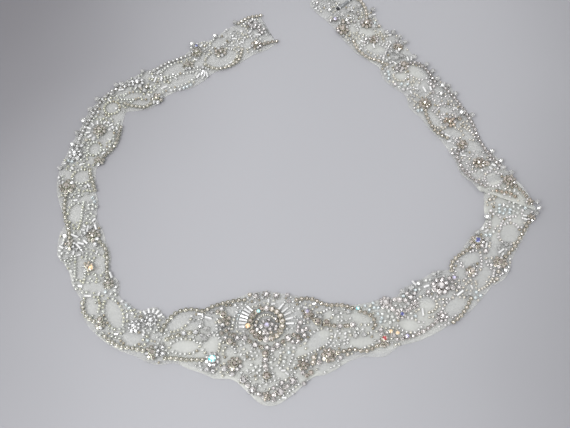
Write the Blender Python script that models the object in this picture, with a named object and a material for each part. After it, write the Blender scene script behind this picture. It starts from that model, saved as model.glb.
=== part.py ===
"""Bridal sash laid flat in an open loop: bead and rhinestone applique on a band of white net.

The tables are in millimetres on the surface that the sash lies on, +X to the right and +Y away
from the viewer. SHEET_MIDDLE is the middle of the laid outline, which becomes the origin.
"""
import math

import bmesh
import bpy
from mathutils import Vector

MM = 0.001
SHEET_MIDDLE = (6.6, 42.3)

NET_THICK = 1.0
SEAM = 0.3
FOLD_LIFT = 2.6
FOLD_FLAT_RUN = 12.0
FOLD_END_RUN = 42.0
PAD_END_RUN = 20.0
PAD_SIDE = 2.0
PAD_GROOVE = 0.4
NOTCH_DEPTH = 3.0
ROW_CUTS = 2

CHAIN_HALF = 1.7
CHAIN_HIGH = 2.2
KNOT_RISE = 0.34
CHAIN_STEP = 4.0
TRACK_CUTS = 24
KNOT_MARKS = (-1.0, -0.8, -0.35, 0.35, 0.8, 1.0)
LINE_TIP = 0.6
PETALS = 8
PETAL_DEPTH = 0.16
FLOWER_RISE = 0.42

MEDALLION = (-12.6, -85.4)
RING_RADIUS = 10.9
RING_HALF = 1.8
RING_STONES = 18
RING_HIGH = 3.4
RING_WAIST = 0.72
HEART_RADIUS = 8.4
FAN_INNER = 13.2
FAN_OUTER = 18.8
BUGLE_HALF = 0.8

BAR_ENDS = ((45.7, 200.7), (57.5, 211.6))
BAR_WIDE = 2.6
BAR_HIGH = 1.6
BAR_EDGE = 0.3

# Main run of the band, from the notched end round the left side and the centre to the fold:
# x, y of the middle line, width out to the outer edge, width in to the inner edge, and the lean
# of the section in degrees.
MAIN_ROWS = (
    (-14, 179, 17, 17, -7), (-25, 172, 19, 19, -3), (-36, 166, 18, 18, 0), (-46, 159, 17, 19, 0),
    (-55, 153, 16, 19, 0), (-66, 146, 19, 16, 0), (-76, 140, 13, 19, 0), (-86, 132, 14, 19, 0),
    (-95, 126, 14, 16, 0), (-105, 118, 18, 14, 0), (-115, 111, 18, 17, 0), (-125, 105, 17, 14, 0),
    (-134, 98, 15, 10, 0), (-140, 87, 17, 13, 0), (-144, 76, 16, 17, 0), (-148, 64, 16, 18, 0),
    (-152, 54, 15, 15, 0), (-155, 42, 15, 12, 0), (-157, 30, 15, 14, 0), (-156, 18, 14, 14, 0),
    (-153, 6, 12, 15, 0), (-150, -6, 11, 12, 0), (-148, -17, 16, 16, 0), (-144, -28, 19, 16, 0),
    (-140, -40, 14, 17, 0), (-135, -52, 14, 13, 0), (-130, -62, 12, 16, 0), (-124, -72, 16, 12, 0),
    (-116, -81, 16, 14, 0), (-105, -87, 17, 13, 0), (-94, -91, 17, 19, 0), (-83, -94, 19, 14, 0),
    (-71, -95, 17, 21, 0), (-58, -97, 20, 22, 0), (-47, -97, 25, 26, 0), (-34, -97, 26, 31, 0),
    (-22, -97, 36, 35, 0), (-11, -97, 43, 36, 0), (3, -96, 36, 33, 0), (15, -95, 27, 30, 0),
    (25, -94, 25, 27, 0), (37, -92, 20, 21, 0), (48, -90, 18, 19, 0), (61, -87, 21, 18, 0),
    (72, -84, 17, 18, 0), (83, -80, 18, 16, 0), (94, -74, 19, 19, 0), (104, -67, 20, 17, 0),
    (114, -61, 20, 17, 0), (124, -55, 17, 13, 0), (133, -46, 16, 16, 0), (142, -38, 18, 18, 0),
    (149, -29, 15, 18, 0), (156, -19, 14, 15, 0), (163, -9, 14, 18, -4), (167, 9, 20, 20, -12),
    (169, 15, 18, 18, -12),
)
LEFT_SEAM_ROW = 31
RIGHT_SEAM_ROW = 44

# Run of the band beyond the fold, lying over the main run's end, with the same columns.
UPPER_ROWS = (
    (167, 9, 20, 20, -51), (164, 15, 18, 18, -40), (161, 20, 17, 17, -28), (155, 30, 15, 15, -12),
    (149, 41, 16, 17, 0), (144, 51, 13, 15, 0), (138, 63, 14, 14, 0), (133, 74, 18, 15, 0),
    (128, 84, 19, 17, 0), (122, 95, 19, 17, 0), (116, 105, 22, 19, 0), (109, 116, 18, 14, 0),
    (103, 125, 18, 17, 0), (97, 135, 14, 19, 0), (91, 146, 16, 16, 0), (83, 155, 20, 17, 0),
    (75, 164, 17, 19, 0), (68, 173, 17, 19, 0), (61, 184, 20, 19, 0), (56, 194, 18, 20, 0),
    (51, 205, 16, 24, 0), (46, 216, 13, 26, 0), (44, 221, 10, 22, 0),
)

# Bead and stone lines: a row for each line, with x, y and, where a flower sits on the line, the
# flower's radius.
LINES = {
    "tail_tip_lower": ((-7, 164), (-12, 163), (-17, 161), (-24, 160, 5.0)),
    "tail_tip_upper": ((-21, 193), (-25, 192), (-30, 191), (-35, 188), (-40, 184)),
    "tail_arc": ((-36, 155), (-37, 149), (-39, 143), (-45, 138), (-52, 135), (-59, 135), (-66, 139)),
    "left_top": ((-74, 152, 5.0), (-84, 147), (-92, 143), (-100, 139), (-106, 134), (-111, 131)),
    "left_under": ((-103, 104, 5.4), (-111, 96), (-117, 96), (-123, 97), (-128, 99)),
    "left_shoulder": ((-120, 120, 5.6), (-130, 116), (-139, 112), (-146, 104), (-150, 96), (-153, 87),
                      (-157, 76), (-160, 64), (-161, 51, 5.8)),
    "left_bay": ((-129, 76), (-130, 67), (-131, 61), (-134, 55), (-142, 45, 4.4)),
    "left_side": ((-148, 37), (-147, 32), (-145, 27), (-143, 22), (-142, 19)),
    "left_rim": ((-163, 22, 6.4), (-163, 9), (-162, 1), (-160, -6), (-157, -13), (-154, -26, 4.3)),
    "left_waist": ((-138, -19, 5.4), (-130, -27), (-127, -33), (-126, -40), (-125, -47), (-123, -56, 4.2)),
    "left_heel": ((-139, -70), (-138, -75), (-135, -80), (-125, -86, 3.8)),
    "left_foot": ((-121, -94), (-116, -98), (-110, -101), (-103, -102), (-98, -103), (-88, -105, 5.2)),
    "left_cluster": ((-102, -87, 4.7), (-91, -83, 4.7)),
    "centre_left": ((-83, -90), (-80, -84), (-76, -79), (-71, -76), (-64, -75), (-56, -76),
                    (-50, -73), (-44, -71), (-36, -69), (-28, -68)),
    "sole_left": ((-79, -109), (-73, -109), (-66, -110), (-60, -110), (-48, -110, 5.2)),
    "left_branch": ((-79, -96), (-74, -94), (-68, -92, 2.5), (-60, -91, 2.5)),
    "medallion_crown": ((-20, -65, 2.5), (-13, -64, 2.8), (-6, -65, 2.5)),
    "medallion_garland": ((-27, -95, 2.8), (-20, -100, 2.8), (-12, -102, 2.4), (-5, -100, 2.8),
                          (2, -95, 2.8)),
    "medallion_drop": ((-13, -110, 2.8), (-12, -121, 3.2)),
    "medallion_skirt": ((-27, -123, 3.2), (-21, -130, 3.2), (-12, -134, 3.4), (-3, -131, 3.2),
                        (5, -124, 3.2)),
    "centre_right": ((8, -68), (14, -67), (20, -68), (26, -71), (32, -72), (39, -72), (46, -74)),
    "right_branch": ((16, -79, 3.8), (23, -85, 2.2), (30, -86), (37, -87, 2.4), (46, -86, 2.4)),
    "right_bow": ((51, -76), (56, -78), (60, -81), (61, -86)),
    "sole_right": ((29, -107, 5.2), (40, -104), (47, -103), (54, -104), (66, -98, 4.0)),
    "right_foot": ((75, -96), (82, -95), (90, -92), (97, -88), (107, -80, 4.4)),
    "right_heel": ((114, -84), (119, -80), (124, -74), (128, -67)),
    "right_bloom": ((69, -70, 4.7), (79, -78, 4.1), (89, -71, 3.4)),
    "right_bay": ((138, -24, 5.6), (129, -31), (123, -35), (118, -40), (117, -46)),
    "right_side": ((180, -4, 3.4), (174, -13), (170, -19), (166, -25), (161, -31), (152, -40, 5.2)),
    "fold_corner": ((180, 8, 3.4), (176, 16), (168, 26, 5.2)),
    "fold_edge": ((157, 17), (161, 16), (166, 15), (170, 12)),
    "upper_bay": ((137, 60, 4.6), (132, 50), (133, 44), (135, 37), (139, 31), (144, 25), (149, 21)),
    "upper_rim": ((130, 114), (136, 105), (141, 95), (145, 86), (148, 77), (150, 67), (154, 56),
                  (159, 47), (163, 40)),
    "upper_bow": ((112, 99, 5.4), (112, 88), (115, 78), (119, 71), (126, 66)),
    "upper_top": ((98, 138, 4.9), (108, 141), (114, 137), (118, 130), (122, 121)),
    "end_bow": ((84, 139), (77, 143), (70, 146), (64, 151), (60, 157), (58, 164)),
    "end_rim": ((61, 214), (67, 208), (70, 199), (70, 184, 5.6)),
}

# Flowers that stand alone: x, y and radius.
FLOWERS = {
    "tail_flower": (-54, 152, 5.3), "left_top_flower": (-80, 138, 4.8),
    "left_shoulder_flower": (-145, 73, 5.4), "left_waist_flower": (-139, -43, 4.2),
    "skirt_flower_left": (-33, -113, 5.2), "skirt_flower_right": (12, -113, 4.2),
    "right_burst_flower": (108, -58, 6.8), "right_heel_flower": (131, -47, 4.6),
    "upper_bay_flower": (148, 43, 5.2), "upper_bow_flower": (130, 81, 5.4),
    "upper_top_flower": (95, 158, 4.6), "end_bow_flower": (75, 166, 4.7),
    "end_flower": (49, 177, 5.8),
}

# Bugle fans beside the medallion: first bugle's angle, last bugle's angle in degrees, bugles.
BUGLE_FANS = {"bugle_fan_left": (136, 186, 7), "bugle_fan_right": (2, 52, 5)}


def curve_point(rows, position):
    """Catmull-Rom curve through rows of equal length, read at a fractional row number."""
    last = len(rows) - 1
    index = min(int(position), last - 1)
    t = position - index
    before = rows[max(index - 1, 0)]
    start, end = rows[index], rows[index + 1]
    after = rows[min(index + 2, last)]
    return [
        0.5 * (2 * b + (c - a) * t + (2 * a - 5 * b + 4 * c - d) * t ** 2 + (3 * b - a - 3 * c + d) * t ** 3)
        for a, b, c, d in zip(before, start, end, after)
    ]


class Section:
    """A line across the band: its middle, its outward direction, its widths and its run."""

    def __init__(self, middle, heading, outer, inner, lean, run):
        self.middle = middle
        self.heading = heading
        outward = math.atan2(-heading.x, heading.y) + math.radians(lean)
        self.across = Vector((math.cos(outward), math.sin(outward)))
        self.outer = outer
        self.inner = inner
        self.run = run

    def point(self, offset):
        return self.middle + self.across * offset

    def beyond(self, place):
        """How far a place lies past this section along the band."""
        return self.across.x * (place - self.middle).y - self.across.y * (place - self.middle).x


def band_sections(rows):
    steps = (len(rows) - 1) * ROW_CUTS
    values = [curve_point(rows, step / ROW_CUTS) for step in range(steps + 1)]
    sections, run = [], 0.0
    for index, (x, y, outer, inner, lean) in enumerate(values):
        back = values[max(index - 1, 0)]
        ahead = values[min(index + 1, steps)]
        heading = Vector((ahead[0] - back[0], ahead[1] - back[1])).normalized()
        middle = Vector((x, y))
        if sections:
            run += (middle - sections[-1].middle).length
        sections.append(Section(middle, heading, outer, inner, lean, run))
    return sections


def lift(run):
    """Height of the upper run's underside, raised where it lies over the folded layers."""
    if run <= FOLD_FLAT_RUN:
        return FOLD_LIFT
    if run >= FOLD_END_RUN:
        return 0.0
    share = (run - FOLD_FLAT_RUN) / (FOLD_END_RUN - FOLD_FLAT_RUN)
    return FOLD_LIFT * 0.5 * (1 + math.cos(math.pi * share))


MAIN = band_sections(MAIN_ROWS)
UPPER = band_sections(UPPER_ROWS)


def net_top(place):
    """Height of the net's upper face at a place: the upper run where it covers the place."""
    if UPPER[0].beyond(place) < 0:
        return NET_THICK
    for near, far in zip(UPPER, UPPER[1:]):
        past, short = near.beyond(place), -far.beyond(place)
        if past >= 0 and short >= 0:
            along = near.run + (far.run - near.run) * past / max(past + short, 1e-6)
            return lift(along) + NET_THICK
    return NET_THICK


def material(name, colour, roughness, metallic):
    made = bpy.data.materials.new(name)
    made.use_nodes = True
    shader = made.node_tree.nodes["Principled BSDF"]
    shader.inputs["Base Color"].default_value = (*colour, 1.0)
    shader.inputs["Roughness"].default_value = roughness
    shader.inputs["Metallic"].default_value = metallic
    return made


def add_solid(name, verts, faces, colour, roughness=0.4, metallic=0.0, smooth=False):
    mesh = bpy.data.meshes.new(name)
    mesh.from_pydata([[value * MM for value in vert] for vert in verts], [], faces)
    work = bmesh.new()
    work.from_mesh(mesh)
    bmesh.ops.recalc_face_normals(work, faces=work.faces)
    work.to_mesh(mesh)
    work.free()
    if smooth:
        mesh.shade_smooth()
    mesh.materials.append(material(name, colour, roughness, metallic))
    solid = bpy.data.objects.new(name, mesh)
    bpy.context.scene.collection.objects.link(solid)
    solid.parent = SHEET
    return solid


def loft(rings):
    """Verts and faces of a closed solid through rings of equal point count."""
    count = len(rings[0])
    verts = [point for ring in rings for point in ring]
    faces = [
        (ring * count + side, ring * count + (side + 1) % count,
         (ring + 1) * count + (side + 1) % count, (ring + 1) * count + side)
        for ring in range(len(rings) - 1) for side in range(count)
    ]
    faces.append(tuple(range(count)))
    faces.append(tuple(range(len(verts) - count, len(verts))))
    return verts, faces


def net_panel(name, sections, height, first_shift, last_shift, notch=0.0):
    """A stretch of net wall, drawn in by a shift at each end, with a notch in its first end."""
    rings = []
    for index, section in enumerate(sections):
        slide = first_shift if index == 0 else -last_shift if index == len(sections) - 1 else 0.0
        cut = notch if index == 0 else 0.0
        low = height(section.run)
        high = low + NET_THICK
        shift = section.heading * slide
        outer = section.point(section.outer) + shift
        middle = section.middle + section.heading * (slide + cut)
        inner = section.point(-section.inner) + shift
        rings.append([(*outer, low), (*middle, low), (*inner, low), (*inner, high), (*middle, high),
                      (*outer, high)])
    verts, faces = loft(rings)
    add_solid(name, verts, faces, (0.86, 0.87, 0.85), 0.8)


def fold_pad():
    """The folded layers hidden under the upper run, with a groove between them at the fold."""
    low = NET_THICK + SEAM
    rings = []
    for section in UPPER:
        if section.run < 0.1 or section.run > PAD_END_RUN:
            continue
        top = lift(section.run) - SEAM
        waist = (low + top) / 2
        outer = section.point(section.outer - PAD_SIDE)
        inner = section.point(PAD_SIDE - section.inner)
        outer_in = section.point(section.outer - PAD_SIDE - PAD_GROOVE)
        inner_in = section.point(PAD_SIDE + PAD_GROOVE - section.inner)
        rings.append([(*outer, low), (*inner, low), (*inner_in, waist), (*inner, top), (*outer, top),
                      (*outer_in, waist)])
    verts, faces = loft(rings)
    add_solid("fold_layers", verts, faces, (0.84, 0.85, 0.83), 0.8)


def line_samples(points):
    """Points along a bead line, each with its place, direction and half width."""
    rows = [(point[0], point[1]) for point in points]
    knots = [(index, point[2]) for index, point in enumerate(points) if len(point) > 2]
    fine = TRACK_CUTS
    track = [Vector(curve_point(rows, step / fine)) for step in range((len(rows) - 1) * fine + 1)]
    runs = [0.0]
    for before, after in zip(track, track[1:]):
        runs.append(runs[-1] + (after - before).length)
    knot_runs = [(runs[index * fine], radius) for index, radius in knots]
    first, last = 0.0, runs[-1]
    for run, radius in knot_runs:
        first = min(first, run - radius)
        last = max(last, run + radius)
    marks = {first, last}
    for run, radius in knot_runs:
        marks.update(run + radius * share for share in KNOT_MARKS)
    plain = max(1, round((last - first) / CHAIN_STEP))
    for step in range(1, plain):
        mark = first + (last - first) * step / plain
        if all(abs(mark - run) > radius + 0.8 for run, radius in knot_runs):
            marks.add(mark)
    samples = []
    for mark in sorted(marks):
        inside = min(max(mark, 0.0), runs[-1])
        index = min(max(1, sum(1 for run in runs if run <= inside)), len(runs) - 1)
        span = max(runs[index] - runs[index - 1], 1e-9)
        direction = (track[index] - track[index - 1]).normalized()
        place = track[index - 1].lerp(track[index], (inside - runs[index - 1]) / span)
        place = place + direction * (mark - inside)
        half = 0.0
        for run, radius in knot_runs:
            reach = radius ** 2 - (mark - run) ** 2
            half = max(half, math.sqrt(max(reach, 0.0)))
        on_line = -0.01 <= mark <= runs[-1] + 0.01
        half = max(half, CHAIN_HALF if on_line else LINE_TIP * CHAIN_HALF)
        samples.append((place, direction, half))
    return samples


def bead_line(name, points):
    """A line of set stones, swelling into a low dome at each flower on it."""
    rings = []
    for place, direction, half in line_samples(points):
        across = Vector((direction.y, -direction.x))
        high = CHAIN_HIGH + KNOT_RISE * (half - CHAIN_HALF)
        ring = []
        for share, level in ((1.0, 0.0), (1.0, 0.45), (0.5, 1.0), (-0.5, 1.0), (-1.0, 0.45), (-1.0, 0.0)):
            spot = place + across * (half * share)
            ring.append((*spot, net_top(spot) + SEAM + high * level))
        rings.append(ring)
    verts, faces = loft(rings)
    add_solid(name, verts, faces, (0.62, 0.61, 0.57), 0.25, 0.6)


def flower(name, x, y, radius):
    """A petalled low dome round a raised centre stone."""
    count = PETALS * 2
    levels = ((1.0, 0.0), (1.0, 0.35), (0.62, 0.62), (0.34, 1.0))
    high = CHAIN_HIGH + FLOWER_RISE * (radius - CHAIN_HALF)
    rings = []
    for share, level in levels:
        ring = []
        for corner in range(count):
            angle = math.tau * corner / count
            dent = PETAL_DEPTH if corner % 2 and share > 0.5 else 0.0
            reach = radius * share * (1 - dent)
            spot = Vector((x + reach * math.cos(angle), y + reach * math.sin(angle)))
            ring.append((*spot, net_top(spot) + SEAM + high * level))
        rings.append(ring)
    verts, faces = loft(rings)
    add_solid(name, verts, faces, (0.70, 0.69, 0.66), 0.2, 0.4)


def stone_ring():
    """The ring of set stones round the medallion's heart, one swelling for each stone."""
    rings = []
    base = NET_THICK + SEAM
    count = RING_STONES * 2
    for step in range(count):
        angle = math.tau * step / count
        swell = 1.0 if step % 2 else RING_WAIST
        half, high = RING_HALF * swell, RING_HIGH * (1 + swell) / 2
        ring = []
        for share, level in ((1.0, 0.0), (1.0, 0.5), (0.4, 1.0), (-0.4, 1.0), (-1.0, 0.5), (-1.0, 0.0)):
            reach = RING_RADIUS + half * share
            ring.append((MEDALLION[0] + reach * math.cos(angle), MEDALLION[1] + reach * math.sin(angle),
                         base + high * level))
        rings.append(ring)
    sides = len(rings[0])
    verts = [point for ring in rings for point in ring]
    faces = [
        (ring * sides + side, ring * sides + (side + 1) % sides,
         (ring + 1) % count * sides + (side + 1) % sides, (ring + 1) % count * sides + side)
        for ring in range(count) for side in range(sides)
    ]
    add_solid("medallion_ring", verts, faces, (0.45, 0.38, 0.33), 0.2, 0.5)


def bugle_fan(name, first, last, bugles):
    """Bugle beads laid side by side as a ribbed sector, high on each bead and low between."""
    base = NET_THICK + SEAM
    pitch = (last - first) / (bugles - 1)
    rings = []
    for step in range(bugles * 2 + 1):
        angle = math.radians(first + pitch * (step - 1) / 2)
        high = 2 * BUGLE_HALF if step % 2 else 0.5 * BUGLE_HALF
        ring = []
        for reach, level in ((FAN_OUTER, 0), (FAN_OUTER, high), (FAN_INNER, high), (FAN_INNER, 0)):
            ring.append((MEDALLION[0] + reach * math.cos(angle), MEDALLION[1] + reach * math.sin(angle),
                         base + level))
        rings.append(ring)
    verts, faces = loft(rings)
    add_solid(name, verts, faces, (0.9, 0.9, 0.92), 0.15)


def closure_bar():
    """The metal bar sewn across the band near its end."""
    start, end = Vector(BAR_ENDS[0]), Vector(BAR_ENDS[1])
    middle = (start + end) / 2
    bpy.ops.mesh.primitive_cube_add(size=1.0)
    bar = bpy.context.active_object
    bar.name = bar.data.name = "closure_bar"
    bar.data.transform(
        (((end - start).length * MM, 0, 0, 0), (0, BAR_WIDE * MM, 0, 0), (0, 0, BAR_HIGH * MM, 0),
         (0, 0, 0, 1)))
    bevel = bar.modifiers.new("edges", "BEVEL")
    bevel.width = BAR_EDGE * MM
    bevel.segments = 1
    bar.location = (middle.x * MM, middle.y * MM, (NET_THICK + SEAM + BAR_HIGH / 2) * MM)
    bar.rotation_euler = (0, 0, math.atan2((end - start).y, (end - start).x))
    bar.parent = SHEET
    bar.data.materials.append(material("closure_bar", (0.3, 0.31, 0.32), 0.3, 1.0))


for old in list(bpy.data.objects):
    bpy.data.objects.remove(old)

SHEET = bpy.data.objects.new("sash", None)
SHEET.location = (-SHEET_MIDDLE[0] * MM, -SHEET_MIDDLE[1] * MM, 0)
bpy.context.scene.collection.objects.link(SHEET)

left_cut, right_cut = LEFT_SEAM_ROW * ROW_CUTS, RIGHT_SEAM_ROW * ROW_CUTS
net_panel("net_left_arm", MAIN[:left_cut + 1], lambda run: 0.0, 0.0, SEAM / 2, NOTCH_DEPTH)
net_panel("net_centre", MAIN[left_cut:right_cut + 1], lambda run: 0.0, SEAM / 2, SEAM / 2)
net_panel("net_right_arm", MAIN[right_cut:], lambda run: 0.0, SEAM / 2, 0.0)
net_panel("net_upper_arm", UPPER, lift, 0.0, 0.0)
fold_pad()
for line_name, line_points in LINES.items():
    bead_line(line_name, line_points)
for flower_name, (flower_x, flower_y, flower_radius) in FLOWERS.items():
    flower(flower_name, flower_x, flower_y, flower_radius)
stone_ring()
flower("medallion_heart", *MEDALLION, HEART_RADIUS)
for fan_name, fan in BUGLE_FANS.items():
    bugle_fan(fan_name, *fan)
closure_bar()
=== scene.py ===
import math
import random

import bpy
import numpy as np
from mathutils import Matrix, Vector, noise


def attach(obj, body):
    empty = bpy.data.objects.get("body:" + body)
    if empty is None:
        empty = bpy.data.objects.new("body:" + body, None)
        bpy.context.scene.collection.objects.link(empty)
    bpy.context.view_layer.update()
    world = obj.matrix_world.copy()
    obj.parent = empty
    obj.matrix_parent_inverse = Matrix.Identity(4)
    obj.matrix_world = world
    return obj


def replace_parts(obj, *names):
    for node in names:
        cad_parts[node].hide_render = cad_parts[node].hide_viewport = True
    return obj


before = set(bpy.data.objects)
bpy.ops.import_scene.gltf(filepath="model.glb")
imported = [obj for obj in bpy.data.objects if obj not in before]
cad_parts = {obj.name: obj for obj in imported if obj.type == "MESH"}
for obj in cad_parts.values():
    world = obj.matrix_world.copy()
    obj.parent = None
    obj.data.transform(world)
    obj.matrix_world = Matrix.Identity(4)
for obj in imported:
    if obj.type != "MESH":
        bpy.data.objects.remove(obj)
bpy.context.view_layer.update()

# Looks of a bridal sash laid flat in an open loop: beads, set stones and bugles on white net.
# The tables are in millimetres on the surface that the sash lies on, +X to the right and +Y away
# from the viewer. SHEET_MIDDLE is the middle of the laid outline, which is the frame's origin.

MM = 0.001
SHEET_MIDDLE = (6.6, 42.3)
DRAWS = random.Random(41)

# The band
NET_THICK = 1.0
NET_LOW = 0.12
NET_HIGH = 0.9
NET_ROW_CUTS = 5
NET_CELL = 0.9
NET_EDGE_BAND = 3.4
NET_EDGE_RISE = 0.55
NET_FRAY = 0.35
VEIL = 0.7
NET_RIM_THICK = 0.25
NOTCH_DEPTH = 3.0
ACROSS_SHARES = (1.0, 0.93, 0.84, 0.72, 0.54, 0.28, 0.0, -0.28, -0.54, -0.72, -0.84, -0.93, -1.0)
FOLD_LIFT = 2.6
FOLD_FLAT_RUN = 12.0
FOLD_END_RUN = 42.0
PAD_END_RUN = 20.0
PAD_SIDE = 1.2
PAD_LAYERS = 3
BEAD_GAP = 0.3

# Stones and beads
CHAIN_PITCH = 3.7
CHAIN_RADIUS = 1.32
CHAIN_RIM = 1.2
STONE_TIP = 0.17
CHAIN_HIGH = 2.2
FLOWER_RISE = 0.42
SEED_RADIUS = 1.1
SEED_PITCH = 2.25
MARGIN = 1.2
WIDEST = 50.0
RIM_REACH = 6.0
WINDOW_RIM = 1.2
FILL_TRIES = 0.8
UNDER_FOLD_TRIES = 1.8
BARE_ABOVE = 0.12
NUDGES = (0.0, 0.7, 1.4, 2.1, 2.8, 3.5)
NUDGE_WAYS = 12
STREWN_TRIES = 5
STREWN_RADII = (1.15, 1.75)
STREWN_HIGH = 1.7
PEARL_RADIUS = 1.25
SMALL_STONE = 1.2
LEAST_BLOSSOM = 3.3
HALO_BEADS = 8

# Draws below these are dark and plain seeds, or clear and other stones, crystals and short bugles.
DARK_SEEDS = 0.08
PLAIN_SEEDS = 0.62
CLEAR_STONES = 0.06
SMALL_STONES = 0.1
SMALL_CRYSTALS = 0.18
SHORT_BUGLES = 0.24

# Medallion, bugles and bar
MEDALLION = (-12.6, -85.4)
RING_RADIUS = 10.9
RING_STONES = 18
RING_HIGH = 3.4
HEART_RADIUS = 8.4
FAN_INNER = 13.2
FAN_OUTER = 18.8
FAN_TIP = 20.1
BUGLE_RADIUS = 0.8
BAR_ENDS = ((45.7, 200.7), (57.5, 211.6))
BAR_WIDE = 2.6
BAR_HIGH = 1.6

# Stage: colours of the floor's painted pool of light at a share of its oval, and of the room's patches at a
# level
FLOOR_REACH = 12.0
PAINTED_FLOOR_POOL_LIGHT = ((0.10, (0.428, 0.430, 0.456)), (0.42, (0.185, 0.181, 0.196)))
ROOM_SHADES = ((0.38, (0.16, 0.16, 0.16)), (0.52, (1.0, 1.0, 1.0)))
SPARKS = 9

# Main run of the band, from the notched end round the left side and the centre to the fold:
# x, y of the middle line, width out to the outer edge, width in to the inner edge, and the lean
# of the section in degrees.
MAIN_ROWS = (
    (-14, 179, 17, 17, -7), (-25, 172, 19, 19, -3), (-36, 166, 18, 18, 0), (-46, 159, 17, 19, 0),
    (-55, 153, 16, 19, 0), (-66, 146, 19, 16, 0), (-76, 140, 13, 19, 0), (-86, 132, 14, 19, 0),
    (-95, 126, 14, 16, 0), (-105, 118, 18, 14, 0), (-115, 111, 18, 17, 0), (-125, 105, 17, 14, 0),
    (-134, 98, 15, 10, 0), (-140, 87, 17, 13, 0), (-144, 76, 16, 17, 0), (-148, 64, 16, 18, 0),
    (-152, 54, 15, 15, 0), (-155, 42, 15, 12, 0), (-157, 30, 15, 14, 0), (-156, 18, 14, 14, 0),
    (-153, 6, 12, 15, 0), (-150, -6, 11, 12, 0), (-148, -17, 16, 16, 0), (-144, -28, 19, 16, 0),
    (-140, -40, 14, 17, 0), (-135, -52, 14, 13, 0), (-130, -62, 12, 16, 0), (-124, -72, 16, 12, 0),
    (-116, -81, 16, 14, 0), (-105, -87, 17, 13, 0), (-94, -91, 17, 19, 0), (-83, -94, 19, 14, 0),
    (-71, -95, 17, 21, 0), (-58, -97, 20, 22, 0), (-47, -97, 25, 26, 0), (-34, -97, 26, 31, 0),
    (-22, -97, 36, 35, 0), (-11, -97, 43, 36, 0), (3, -96, 36, 33, 0), (15, -95, 27, 30, 0),
    (25, -94, 25, 27, 0), (37, -92, 20, 21, 0), (48, -90, 18, 19, 0), (61, -87, 21, 18, 0),
    (72, -84, 17, 18, 0), (83, -80, 18, 16, 0), (94, -74, 19, 19, 0), (104, -67, 20, 17, 0),
    (114, -61, 20, 17, 0), (124, -55, 17, 13, 0), (133, -46, 16, 16, 0), (142, -38, 18, 18, 0),
    (149, -29, 15, 18, 0), (156, -19, 14, 15, 0), (163, -9, 14, 18, -4), (167, 9, 20, 20, -12),
    (169, 15, 18, 18, -12),
)
LEFT_SEAM_ROW = 31
RIGHT_SEAM_ROW = 44

# Run of the band beyond the fold, lying over the main run's end, with the same columns.
UPPER_ROWS = (
    (167, 9, 20, 20, -51), (164, 15, 18, 18, -40), (161, 20, 17, 17, -28), (155, 30, 15, 15, -12),
    (149, 41, 16, 17, 0), (144, 51, 13, 15, 0), (138, 63, 14, 14, 0), (133, 74, 18, 15, 0),
    (128, 84, 19, 17, 0), (122, 95, 19, 17, 0), (116, 105, 22, 19, 0), (109, 116, 18, 14, 0),
    (103, 125, 18, 17, 0), (97, 135, 14, 19, 0), (91, 146, 16, 16, 0), (83, 155, 20, 17, 0),
    (75, 164, 17, 19, 0), (68, 173, 17, 19, 0), (61, 184, 20, 19, 0), (56, 194, 18, 20, 0),
    (51, 205, 16, 24, 0), (46, 216, 13, 26, 0), (44, 221, 10, 22, 0),
)

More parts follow.
